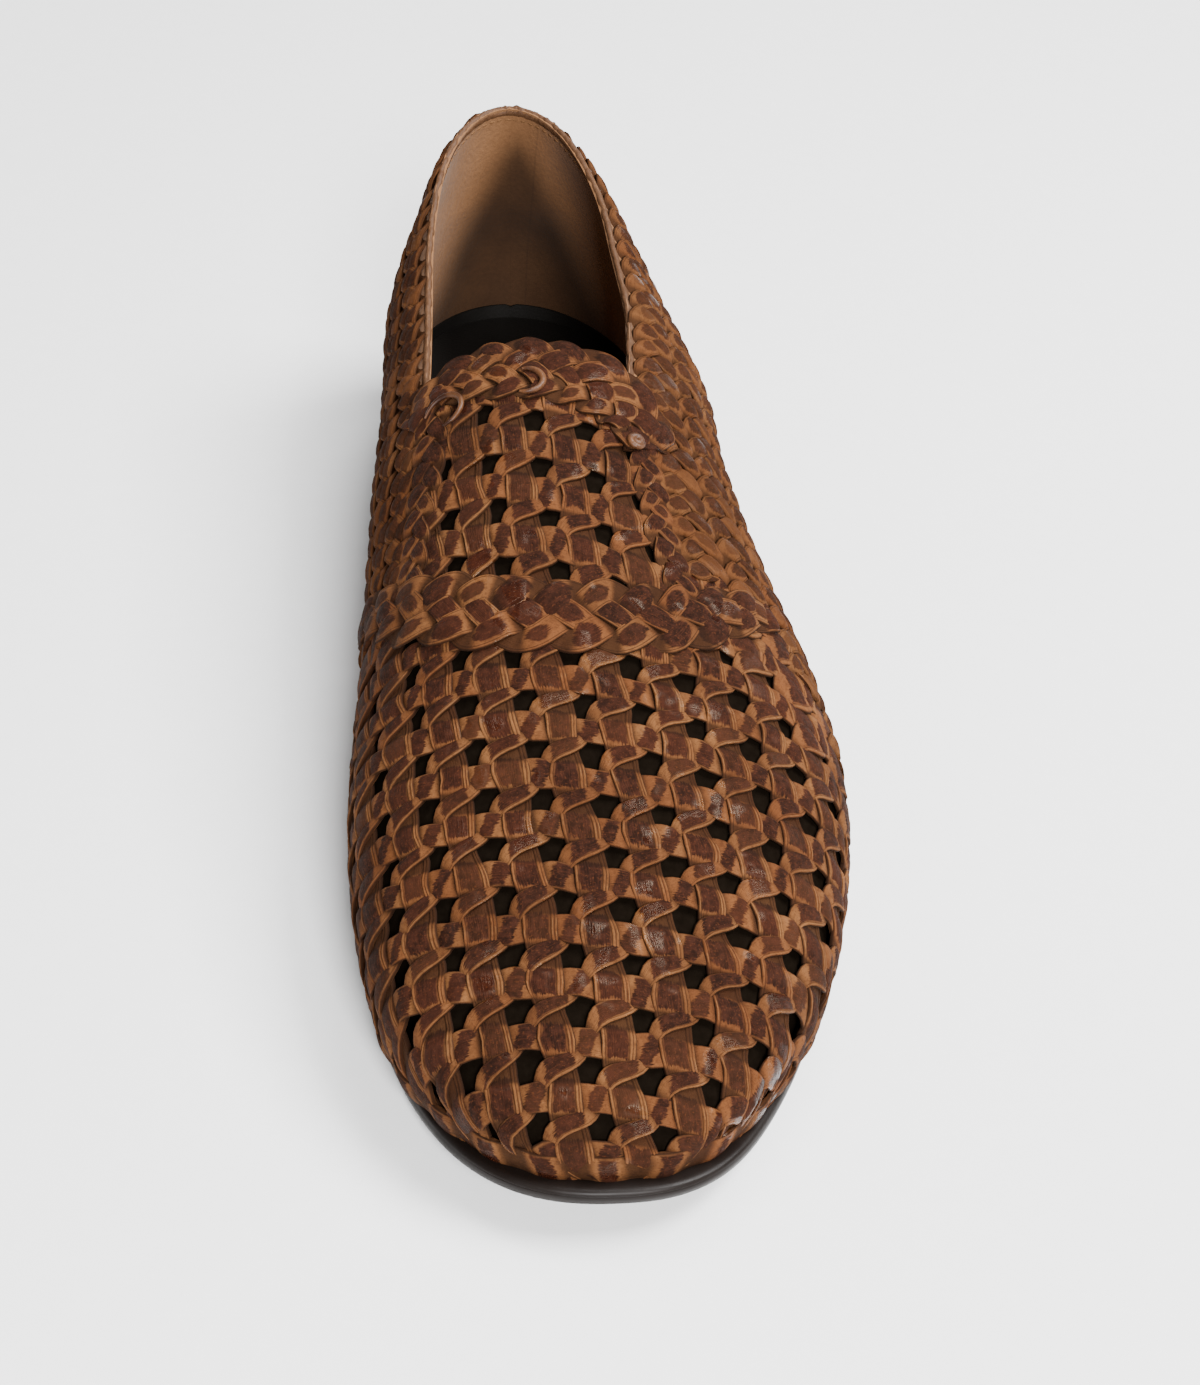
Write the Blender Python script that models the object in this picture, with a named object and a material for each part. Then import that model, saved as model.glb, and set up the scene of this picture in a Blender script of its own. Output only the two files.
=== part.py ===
"""Woven leather slip-on loafer for the left foot, standing on its sole and heel.

The toe points along -Y, the heel along +Y, the outer side of the foot is +X and +Z is up.
The origin is on the ground, under the middle of the shoe.  Every piece takes its shape
from one last: a table of cross sections from the heel's back to the toe's tip.
"""

import bmesh
import bpy
import numpy as np

# ---------------------------------------------------------------- driving dimensions (metres)
LENGTH = 0.300              # outsole, from the back of the heel to the tip of the toe
OUTSOLE = 0.0045            # thickness of the outsole
HEEL_LIFT = 0.0175          # ground to the underside of the outsole at the heel
TOP_LIFT = 0.0050           # rubber piece that the heel walks on
BREAST = 0.078              # front of the heel, measured from its back
TREAD_FROM = 0.200          # the forefoot lies flat on the ground between these two
TREAD_TO = 0.232
TOE_SPRING = 0.009          # height of the sole's underside at the tip of the toe
INSOLE = 0.0025             # thickness of the insole
WALL = 0.0024               # thickness of the woven upper
GAP = 0.0003                # clearance between pieces that are stuck or stitched together
BRAID = 0.0016              # how far the braids stand above the weave
BINDING = 0.0016            # thickness of the leather binding on the top line

UPPER_BACK = 0.003          # the upper's back and tip, measured from the back of the outsole
UPPER_TOE = 0.297
THROAT_OUTER = 0.1150       # where the top line meets the plug, on the outer side
THROAT_INNER = 0.1080       # and on the inner side
THROAT_MIDDLE = 0.1055      # the plug's top edge arches back to here on the ridge
TOE_ROUND = 0.218           # the outline starts to close towards the toe here
TOE_DROP = 0.230            # and the ridge starts to drop here
TOE_SQUARENESS = 2.5        # 2 rounds the toe like an ellipse, more makes it squarer
HEEL_ROUND_SEAT = 0.033     # length of the rounded heel at the sole
HEEL_ROUND_TOP = 0.070      # and at the top line, where it is a pointed arch
UNDERCUT = np.radians(70)   # how far the wall has turned under where it meets the sole

# The last's cross sections.  middle: centre line.  inner, outer: half widths at the fullest
# height.  seat_in, seat_out: half widths at the sole.  bulge: fullest height above the sole.
# crown: height of the ridge, or of the closed last above the collar.  ridge: its shift.
# sway: how far the top of the section leans over.
COLUMNS = ("along", "middle", "inner", "outer", "seat_in", "seat_out", "bulge", "crown", "ridge",
           "sway")
SECTIONS = np.array((
    (0.000, -0.0035, 0.0345, 0.0336, 0.0320, 0.0315, 0.024, 0.1175, 0.0000, -0.0035),
    (0.030, -0.0038, 0.0336, 0.0338, 0.0315, 0.0320, 0.024, 0.1080, 0.0000, -0.0036),
    (0.060, -0.0050, 0.0357, 0.0370, 0.0300, 0.0335, 0.025, 0.0928, 0.0000, -0.0014),
    (0.090, -0.0055, 0.0377, 0.0436, 0.0290, 0.0355, 0.026, 0.0850, -0.0010, 0.0000),
    (0.120, -0.0055, 0.0412, 0.0455, 0.0290, 0.0390, 0.026, 0.0820, -0.0020, 0.0000),
    (0.150, -0.0055, 0.0437, 0.0516, 0.0320, 0.0425, 0.025, 0.0765, -0.0035, 0.0000),
    (0.180, -0.0042, 0.0487, 0.0575, 0.0410, 0.0505, 0.024, 0.0700, -0.0045, 0.0000),
    (0.210, -0.0022, 0.0533, 0.0580, 0.0480, 0.0525, 0.021, 0.0600, -0.0055, 0.0000),
    (0.235, -0.0015, 0.0534, 0.0532, 0.0485, 0.0490, 0.018, 0.0508, -0.0055, 0.0000),
    (0.260, -0.0022, 0.0500, 0.0472, 0.0460, 0.0430, 0.016, 0.0433, -0.0045, 0.0000),
    (0.280, -0.0032, 0.0475, 0.0422, 0.0445, 0.0390, 0.014, 0.0392, -0.0045, 0.0000),
    (0.300, -0.0041, 0.0458, 0.0390, 0.0440, 0.0370, 0.012, 0.0366, -0.0045, 0.0000),
))

# Roundness of the sections: 2 is an ellipse, less is a sharper ridge, more is boxier.
ROUNDNESS = np.array(((0.00, 2.00), (0.10, 2.00), (0.15, 1.92), (0.21, 1.98), (0.30, 2.10)))

# Height of the top line on the inner and the outer side of the foot.
TOPLINE = np.array((
    # along   inner   outer
    (0.003, 0.0912, 0.0912),
    (0.020, 0.0885, 0.0900),
    (0.060, 0.0785, 0.0834),
    (0.090, 0.0730, 0.0796),
    (0.120, 0.0705, 0.0782),
))

# How far the outsole's edge stands out beyond the upper.
SOLE_LEDGE = np.array((
    # along   width
    (0.000, 0.0030),
    (0.050, 0.0018),
    (0.120, 0.0015),
    (0.190, 0.0027),
    (0.240, 0.0028),
    (0.280, 0.0031),
    (0.297, 0.0029),
    (0.300, 0.0029),
))


# ---------------------------------------------------------------- the last
def through(places, values, at):
    """Smooth curve through a column of a table."""
    step = np.diff(places)
    slope = np.diff(values) / step
    tangent = np.empty(len(places))
    tangent[0] = slope[0]
    tangent[-1] = slope[-1]
    tangent[1:-1] = (slope[:-1] * step[1:] + slope[1:] * step[:-1]) / (step[1:] + step[:-1])
    row = np.clip(np.searchsorted(places, at, side="right") - 1, 0, len(step) - 1)
    t = (at - places[row]) / step[row]
    blend = t * t * (3 - 2 * t)
    bow = step[row] * t * (1 - t) * (tangent[row] * (1 - t) - tangent[row + 1] * t)
    return values[row] * (1 - blend) + values[row + 1] * blend + bow


def column(name, along):
    """One size of the last, at a distance from the heel's back."""
    return through(SECTIONS[:, 0], SECTIONS[:, COLUMNS.index(name)], along)


def ease(t):
    """0 to 1 with level ends."""
    t = np.clip(t, 0, 1)
    return t * t * (3 - 2 * t)


def rounding(t, power):
    """1 to 0 as t runs from 0 to 1, like the end of a superellipse."""
    return (1 - np.clip(t, 0, 1) ** power) ** (1 / power)


def sole_top(along):
    """Height of the outsole's top: heel seat, waist, flat tread and toe spring."""
    seat = HEEL_LIFT * ease((TREAD_FROM - along) / (TREAD_FROM - BREAST))
    spring = TOE_SPRING * np.clip((along - TREAD_TO) / (LENGTH - TREAD_TO), 0, None) ** 2
    return OUTSOLE + seat + spring


def profile(along, side, steps=40):
    """Outside of the upper on one side (+1 outer, -1 inner), a curve for each place along.

    Each curve runs from the sole, out to the fullest point and over to the ridge.
    Returns x, y, z and the distance run along the curve.
    """
    floor = sole_top(along) + GAP
    toe = rounding((along - TOE_ROUND) / (UPPER_TOE - TOE_ROUND), TOE_SQUARENESS)
    drop = rounding((along - TOE_DROP) / (UPPER_TOE - TOE_DROP), 2.6)
    ridge = column("ridge", along) * toe
    full = column("outer" if side > 0 else "inner", along) * toe - side * ridge
    seat = column("seat_out" if side > 0 else "seat_in", along) * toe - side * ridge
    crown = floor + (column("crown", along) - floor) * drop
    bulge = floor + column("bulge", along) * drop
    sharpness = 2 / through(ROUNDNESS[:, 0], ROUNDNESS[:, 1], along)

    turn = np.linspace(1, 0, steps)
    under = UNDERCUT * turn
    low_x = full[:, None] - np.outer(full - seat, (1 - np.cos(under)) / (1 - np.cos(UNDERCUT)))
    low_z = bulge[:, None] - np.outer(bulge - floor, np.sin(under) / np.sin(UNDERCUT))
    over = np.pi / 2 * turn[1:]
    high_x = full[:, None] * np.sin(over) ** sharpness[:, None]
    high_z = bulge[:, None] + (crown - bulge)[:, None] * np.abs(np.cos(over)) ** sharpness[:, None]
    x = np.hstack((low_x, high_x))
    z = np.hstack((low_z, high_z))

    up = z - floor[:, None]
    radius = HEEL_ROUND_SEAT + (HEEL_ROUND_TOP - HEEL_ROUND_SEAT) * np.clip(up / 0.060, 0, 1)
    x = x * rounding((UPPER_BACK + radius - along[:, None]) / radius, 2)
    run = np.hypot(np.diff(x), np.diff(z)).cumsum(axis=1)
    run = np.hstack((np.zeros((len(along), 1)), run))

    heel = np.clip(1 - (along - UPPER_BACK) / 0.060, 0, 1)[:, None] ** 2
    counter = 0.0030 * np.sin(np.pi * np.clip(up / 0.040, 0, 1))
    lean = 0.0023 * np.clip((up - 0.020) / 0.045, 0, None) ** 1.5
    y = LENGTH / 2 - along[:, None] + (counter - lean) * heel
    sway = column("sway", along)[:, None] * np.clip(up / 0.065, 0, 1) ** 1.5
    x = (column("middle", along) + ridge)[:, None] + sway + side * x
    return x, y, z, run


def on_profile(along, side, place):
    """A point of the outside for each place along; place(row, run, z) gives its run."""
    x, y, z, run = profile(along, side)
    points = np.empty((len(along), 3))
    for row in range(len(along)):
        s = place(row, run[row], z[row])
        points[row] = [np.interp(s, run[row], curve[row]) for curve in (x, y, z)]
    return points


def by_rise(along, side, rise):
    """Points at a share of the way from the sole (0) to the ridge (1)."""
    return on_profile(along, side, lambda row, run, z: rise[row] * run[-1])


def by_reach(along, reach):
    """Points at a distance across from the ridge, positive towards the outer side."""
    points = np.empty((len(along), 3))
    for side in (1, -1):
        here = reach >= 0 if side > 0 else reach < 0
        away = np.abs(reach[here])
        points[here] = on_profile(along[here], side, lambda row, run, z: max(run[-1] - away[row], 0))
    return points


def topline_height(along, side):
    """Height of the top line."""
    return through(TOPLINE[:, 0], TOPLINE[:, 2 if side > 0 else 1], along)


def topline_rise(along, side):
    """The top line as a share of the way from the sole to the ridge."""
    _, _, z, run = profile(along, side)
    height = topline_height(along, side)
    return np.array([np.interp(h, zs, s) / s[-1] for h, zs, s in zip(height, z, run)])


def throat_edge(side, share=0.0):
    """Place along of the plug's top edge, from the top line (0) to the ridge (1)."""
    corner = THROAT_OUTER if side > 0 else THROAT_INNER
    return corner + (THROAT_MIDDLE - corner) * np.sin(np.pi / 2 * np.clip(share, 0, 1))


def outline(grow, count, cut=LENGTH):
    """Plan outline of the upper's seat, moved out square to itself by grow(along).

    Returns the outer and the inner edge as rows of x, y from the heel to the toe, or to
    a straight cut across.
    """
    turn = np.linspace(0, np.pi, 500)
    along = UPPER_BACK + (UPPER_TOE - UPPER_BACK) * (1 - np.cos(turn)) / 2
    toe = rounding((along - TOE_ROUND) / (UPPER_TOE - TOE_ROUND), TOE_SQUARENESS)
    heel = rounding((UPPER_BACK + HEEL_ROUND_SEAT - along) / HEEL_ROUND_SEAT, 2)
    edges = []
    for side, name in ((1, "seat_out"), (-1, "seat_in")):
        x = column("middle", along) + side * column(name, along) * toe * heel
        way = np.stack((np.gradient(x), np.gradient(along)))
        way = way / np.linalg.norm(way, axis=0)
        way[:, 0] = (side, 0)
        way[:, -1] = (-side, 0)
        out_x = x + side * way[1] * grow(along)
        out_along = along - side * way[0] * grow(along)
        end = min(out_along[-1], cut)
        share = (1 - np.cos(np.linspace(0, np.pi, count))) / 2
        if end == cut:
            share = 1 - np.cos(np.linspace(0, np.pi / 2, count))
        places = out_along[0] + (end - out_along[0]) * share
        x = np.interp(places, out_along, out_x)
        edges.append(np.stack((x, LENGTH / 2 - places), axis=1))
    return edges


# ---------------------------------------------------------------- building helpers
def material(name, colour, roughness):
    """A Principled material."""
    made = bpy.data.materials.new(name)
    made.use_nodes = True
    shader = made.node_tree.nodes["Principled BSDF"]
    shader.inputs["Base Color"].default_value = (*colour, 1)
    shader.inputs["Roughness"].default_value = roughness
    shader.inputs["Metallic"].default_value = 0
    made.diffuse_color = (*colour, 1)
    return made


def add_piece(name, bm, finish):
    """Turn a bmesh into a named object with its faces pointing out."""
    bmesh.ops.remove_doubles(bm, verts=bm.verts, dist=1e-6)
    bmesh.ops.recalc_face_normals(bm, faces=bm.faces)
    mesh = bpy.data.meshes.new(name)
    bm.to_mesh(mesh)
    bm.free()
    mesh.shade_smooth()
    mesh.set_sharp_from_angle(angle=np.radians(40))
    mesh.materials.append(finish)
    piece = bpy.data.objects.new(name, mesh)
    bpy.context.scene.collection.objects.link(piece)
    return piece


def add_grid(bm, grid):
    """A sheet of quads over a grid of points; rows that meet are welded later."""
    rows = [[bm.verts.new(point) for point in line] for line in grid]
    for line, after in zip(rows, rows[1:]):
        for k in range(len(line) - 1):
            bm.faces.new((line[k], line[k + 1], after[k + 1], after[k]))


def thicken(bm, inside, outside=0.0, level_below=None):
    """Make a closed shell of a sheet: one face at inside, one at outside along its normals.

    A vertex on the open edge that level_below picks out moves level, so that the edge
    stays at its height.
    """
    bmesh.ops.remove_doubles(bm, verts=bm.verts, dist=1e-5)
    bmesh.ops.dissolve_degenerate(bm, edges=bm.edges, dist=1e-6)
    bm.normal_update()
    normals = {}
    for vert in bm.verts:
        normal = vert.normal.copy()
        if level_below and vert.is_boundary and level_below(vert.co):
            normal.z = 0
            normal.normalize()
        normals[vert] = normal
    near = {vert: bm.verts.new(vert.co + normals[vert] * inside) for vert in list(normals)}
    edges = [edge for edge in bm.edges if edge.is_boundary]
    for face in list(bm.faces):
        bm.faces.new([near[vert] for vert in reversed(face.verts)])
    for edge in edges:
        one, two = edge.verts
        bm.faces.new((one, two, near[two], near[one]))
    for vert, normal in normals.items():
        vert.co += normal * outside


# ---------------------------------------------------------------- upper
QUARTER_ROWS = 10           # rows of faces from the sole up to the top line
CROWN_ROWS = 8              # and on over the plug to the ridge
COLLAR_STEPS = 17           # steps along, beside the collar
VAMP_STEPS = 28             # steps along, from the throat to the toe
SPLIT_AT_TOE = 0.50         # the row that leaves the throat ends here at the toe


def half_upper(side):
    """Grid of the outside of one half of the upper, in two parts that share a line."""
    turn = np.linspace(0, np.pi / 2, COLLAR_STEPS + 1)
    collar = UPPER_BACK + (throat_edge(side) - UPPER_BACK) * (1 - np.cos(turn))
    tops = topline_rise(collar, side)
    quarter = []
    for row in range(QUARTER_ROWS + 1):
        quarter.append(by_rise(collar, side, tops * row / QUARTER_ROWS))

    step = np.linspace(0, 1, VAMP_STEPS + 1)
    step = 0.10 * step + 0.90 * (1 - (1 - step) ** 1.8)
    split = tops[-1] + (SPLIT_AT_TOE - tops[-1]) * step
    vamp = []
    for row in range(QUARTER_ROWS + CROWN_ROWS + 1):
        over = (row - QUARTER_ROWS) / CROWN_ROWS
        rise = split * row / QUARTER_ROWS if over <= 0 else split + (1 - split) * over
        begin = throat_edge(side, over)
        vamp.append(by_rise(begin + (UPPER_TOE - begin) * step, side, rise))
    return np.array(quarter), np.array(vamp)


def make_upper():
    """The woven upper: one hollow wall, open at the collar and over the sole."""
    bm = bmesh.new()
    for side in (1, -1):
        for grid in half_upper(side):
            add_grid(bm, grid)
    bmesh.ops.remove_doubles(bm, verts=bm.verts, dist=1e-5)
    bmesh.ops.recalc_face_normals(bm, faces=bm.faces)
    thicken(bm, -WALL, level_below=lambda co: co.z < sole_top(LENGTH / 2 - co.y) + 0.004)
    return add_piece("upper", bm, material("woven_leather", (0.36, 0.19, 0.085), 0.45))


# ---------------------------------------------------------------- braids and binding
# The braid across the foot, where the plug ends: its middle line and its width.
APRON_BRAID = np.array((
    # reach   along   width
    (-0.060, 0.1585, 0.0090),
    (-0.048, 0.1655, 0.0120),
    (-0.037, 0.1735, 0.0150),
    (-0.025, 0.1812, 0.0170),
    (-0.010, 0.1875, 0.0168),
    (0.004, 0.1888, 0.0170),
    (0.020, 0.1882, 0.0160),
    (0.032, 0.1845, 0.0140),
    (0.046, 0.1780, 0.0100),
    (0.053, 0.1755, 0.0080),
))

# The scalloped braid on the plug's top edge: its depth.
THROAT_BRAID = np.array((
    # reach   depth
    (-0.028, 0.0140),
    (-0.014, 0.0200),
    (0.000, 0.0240),
    (0.020, 0.0240),
))


def band(path, width, lines):
    """Grid of points on the upper along a path of (reach, along), spread over the width."""
    reach, along = path
    way = np.stack((np.gradient(reach), np.gradient(along)))
    way = way / np.linalg.norm(way, axis=0)
    grid = []
    for share in np.linspace(-0.5, 0.5, lines):
        grid.append(by_reach(along + way[0] * width * share, reach - way[1] * width * share))
    return np.array(grid)


def face_up(bm):
    """Turn a sheet's faces away from the foot."""
    bmesh.ops.recalc_face_normals(bm, faces=bm.faces)
    bm.normal_update()
    if sum(face.normal.z * face.calc_area() for face in bm.faces) < 0:
        bmesh.ops.reverse_faces(bm, faces=bm.faces)


def make_apron_braid(finish):
    """The braid that joins the plug to the vamp, standing proud of both."""
    places, along, width = APRON_BRAID.T
    reach = np.linspace(places[0], places[-1], 41)
    path = (reach, through(places, along, reach))
    bm = bmesh.new()
    add_grid(bm, band(path, through(places, width, reach), 5))
    face_up(bm)
    thicken(bm, GAP, BRAID)
    return add_piece("apron_braid", bm, finish)


def make_throat_braid(finish):
    """The scalloped braid along the plug's top edge."""
    bm = bmesh.new()
    for side in (1, -1):
        share = np.linspace(0.06, 1, 12)
        along = throat_edge(side, share)
        corner = topline_rise(throat_edge(side, np.zeros(1)), side)[0]
        rise = corner + (1 - corner) * share
        length = profile(along, side)[3][:, -1]
        reach = side * length * (1 - rise)
        depth = through(*THROAT_BRAID.T, reach)
        lines = []
        for step in np.linspace(0, 1, 6):
            lines.append(by_reach(along + 0.0008 + (depth - 0.0008) * step, reach))
        add_grid(bm, np.array(lines))
    bmesh.ops.remove_doubles(bm, verts=bm.verts, dist=1e-5)
    face_up(bm)
    thicken(bm, GAP, BRAID)
    return add_piece("throat_braid", bm, finish)


def make_binding():
    """The leather strip bound over the top line, from one side of the plug round the heel."""
    turn = np.linspace(0, np.pi / 2, 24)
    loops = []
    for side in (1, -1):
        along = UPPER_BACK + (throat_edge(side) - 0.003 - UPPER_BACK) * (1 - np.cos(turn))
        rise = topline_rise(along, side)
        top = by_rise(along, side, rise)
        loops.append(top if side > 0 else top[:0:-1])
    path = np.vstack((loops[1], loops[0]))
    way = np.gradient(path[:, :2], axis=0)
    way = way / np.linalg.norm(way, axis=1)[:, None]
    inward = np.stack((-way[:, 1], way[:, 0]), axis=1)
    centre = np.array((SECTIONS[0, 1], 0.100))
    facing = np.sum(inward * (centre - path[:, :2]), axis=1)
    inward = inward * np.sign(np.median(facing))
    rim = (
        # in from the outside, up from the top line
        (-0.0004, GAP),
        (WALL + 0.0006, GAP),
        (WALL + 0.0006, GAP + BINDING * 0.6),
        (WALL * 0.5 + 0.0006, GAP + BINDING),
        (WALL * 0.5 - 0.0006, GAP + BINDING),
        (-0.0004, GAP + BINDING * 0.6),
    )
    bm = bmesh.new()
    rings = []
    for point, side_way in zip(path, inward):
        ring = []
        for step_in, step_up in rim:
            ring.append(bm.verts.new((*(point[:2] + side_way * step_in), point[2] + step_up)))
        rings.append(ring)
    for ring, after in zip(rings, rings[1:]):
        for k in range(len(rim)):
            m = (k + 1) % len(rim)
            bm.faces.new((ring[k], ring[m], after[m], after[k]))
    bm.faces.new(rings[0])
    bm.faces.new(rings[-1])
    return add_piece("topline_binding", bm, material("binding_leather", (0.42, 0.23, 0.11), 0.5))


# ---------------------------------------------------------------- sole, heel and insole
def add_slab(bm, levels):
    """A closed slab of levels from the bottom up, each a pair of edges with heights."""
    loops = []
    for edges, height in levels:
        outer, inner = edges
        ring = [(*point, height(LENGTH / 2 - point[1])) for point in outer]
        ring += [(*point, height(LENGTH / 2 - point[1])) for point in inner[::-1]]
        loops.append([bm.verts.new(point) for point in ring])
    count = len(loops[0])
    for ring, above in zip(loops, loops[1:]):
        for k in range(count):
            m = (k + 1) % count
            bm.faces.new((ring[k], ring[m], above[m], above[k]))
    for ring in (loops[0], loops[-1]):
        for k in range(count // 2 - 1):
            bm.faces.new((ring[k], ring[k + 1], ring[count - 2 - k], ring[count - 1 - k]))
    bmesh.ops.remove_doubles(bm, verts=bm.verts, dist=1e-5)
    bmesh.ops.dissolve_degenerate(bm, edges=bm.edges, dist=1e-6)


def ledge(along):
    """How far the outsole stands out beyond the upper's seat."""
    return through(SOLE_LEDGE[:, 0], SOLE_LEDGE[:, 1], along)


def make_outsole():
    """The leather outsole, its edge rounded above and below."""
    bm = bmesh.new()
    rim = (
        # up from the underside, in from the edge
        (0.0000, 0.0016),
        (0.0007, 0.0005),
        (0.0018, 0.0000),
        (0.0030, 0.0001),
        (0.0040, 0.0007),
        (0.0045, 0.0018),
    )
    levels = []
    for up, back in rim:
        edges = outline(lambda along, b=back: ledge(along) - b, 64)
        levels.append((edges, lambda along, u=up: sole_top(along) - OUTSOLE + u))
    add_slab(bm, levels)
    return add_piece("outsole", bm, material("sole_edge", (0.030, 0.020, 0.016), 0.25))


def heel_slab(name, low, high, finish, taper):
    """A layer of the heel between two heights, its breast cut straight across."""
    bm = bmesh.new()
    bevel = 0.0006
    levels = []
    for height, back in ((low, bevel), (low + bevel, 0), (high - bevel, 0), (high, bevel)):
        slope = taper * (HEEL_LIFT - height) / HEEL_LIFT
        inset = back + slope
        cut = BREAST - back - slope
        edges = outline(lambda along, i=inset: ledge(along) - i, 28, cut)
        levels.append((edges, lambda along, h=height: np.full(np.shape(along), h)))
    add_slab(bm, levels)
    return add_piece(name, bm, finish)


def make_insole():
    """The insole, lying on the outsole inside the upper."""
    bm = bmesh.new()
    inside = WALL + GAP * 1.5
    levels = []
    for up, back in ((0, 0.0004), (0.0006, 0), (INSOLE - 0.0006, 0), (INSOLE, 0.0006)):
        edges = outline(lambda along, b=back: np.full(np.shape(along), -inside - b), 48)
        levels.append((edges, lambda along, u=up: sole_top(along) + GAP + u))
    add_slab(bm, levels)
    return add_piece("insole", bm, material("insole_black", (0.012, 0.011, 0.010), 0.6))


# ---------------------------------------------------------------- assembly
for old in list(bpy.data.objects):
    bpy.data.objects.remove(old, do_unlink=True)

braided = material("braided_leather", (0.34, 0.175, 0.08), 0.4)
make_upper()
make_apron_braid(braided)
make_throat_braid(braided)
make_binding()
make_insole()
make_outsole()
stacked = material("stacked_leather", (0.05, 0.03, 0.02), 0.35)
heel_slab("heel_stack", TOP_LIFT + GAP, HEEL_LIFT - GAP, stacked, 0.0015)
rubber = material("heel_rubber", (0.015, 0.014, 0.013), 0.7)
heel_slab("top_lift", 0.0, TOP_LIFT, rubber, 0.0015)
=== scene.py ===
"""Woven leather slip-on loafer, left foot, standing empty on a pale floor.

The toe points along -Y, +X is the outer side of the foot and +Z is up; sizes are in metres.
"""

import bpy
import numpy as np
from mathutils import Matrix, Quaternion, Vector


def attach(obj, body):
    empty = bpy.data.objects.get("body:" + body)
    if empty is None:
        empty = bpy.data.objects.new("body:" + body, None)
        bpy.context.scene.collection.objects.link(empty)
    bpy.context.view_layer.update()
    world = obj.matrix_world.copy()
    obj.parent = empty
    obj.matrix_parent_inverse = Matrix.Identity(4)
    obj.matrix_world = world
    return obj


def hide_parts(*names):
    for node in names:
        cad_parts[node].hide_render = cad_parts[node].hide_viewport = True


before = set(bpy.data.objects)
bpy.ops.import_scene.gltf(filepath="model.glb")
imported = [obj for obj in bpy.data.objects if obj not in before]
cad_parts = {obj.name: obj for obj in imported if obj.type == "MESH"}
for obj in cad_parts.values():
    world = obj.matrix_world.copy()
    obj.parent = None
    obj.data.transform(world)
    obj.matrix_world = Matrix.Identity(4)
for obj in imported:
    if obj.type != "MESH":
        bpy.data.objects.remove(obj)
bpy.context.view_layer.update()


# ------------------------------------------------------------------ studio
# A pale paper floor, large soft lamps beside the shoe and before it with a weaker one over the
# heel, and a camera that looks down on the toe.
def stand(name, data, place, target, roll=0.0):
    """Put a camera or a lamp at a place, facing another one; roll is in degrees."""
    thing = bpy.data.objects.new(name, data)
    thing.location = place
    facing = (Vector(target) - thing.location).to_track_quat("-Z", "Y")
    thing.rotation_mode = "QUATERNION"
    thing.rotation_quaternion = facing @ Quaternion((0, 0, 1), np.radians(roll))
    bpy.context.scene.collection.objects.link(thing)
    return thing


def add_camera():
    """Camera above the toe, turned a little about its own axis."""
    lens = bpy.data.cameras.new("camera")
    lens.lens = 71.0
    lens.sensor_fit = "HORIZONTAL"
    lens.sensor_width = 36.0
    place = (-0.0658, -0.4269, 0.3957)
    bpy.context.scene.camera = stand("camera", lens, place, (0.0019, -0.0334, 0.0400), 5.41)


def add_lamp(name, place, size, power):
    """Square soft lamp that faces the middle of the shoe."""
    light = bpy.data.lights.new(name, "AREA")
    light.shape = "SQUARE"
    light.size = size
    light.energy = power
    stand(name, light, place, (0.0, -0.02, 0.03))


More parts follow.
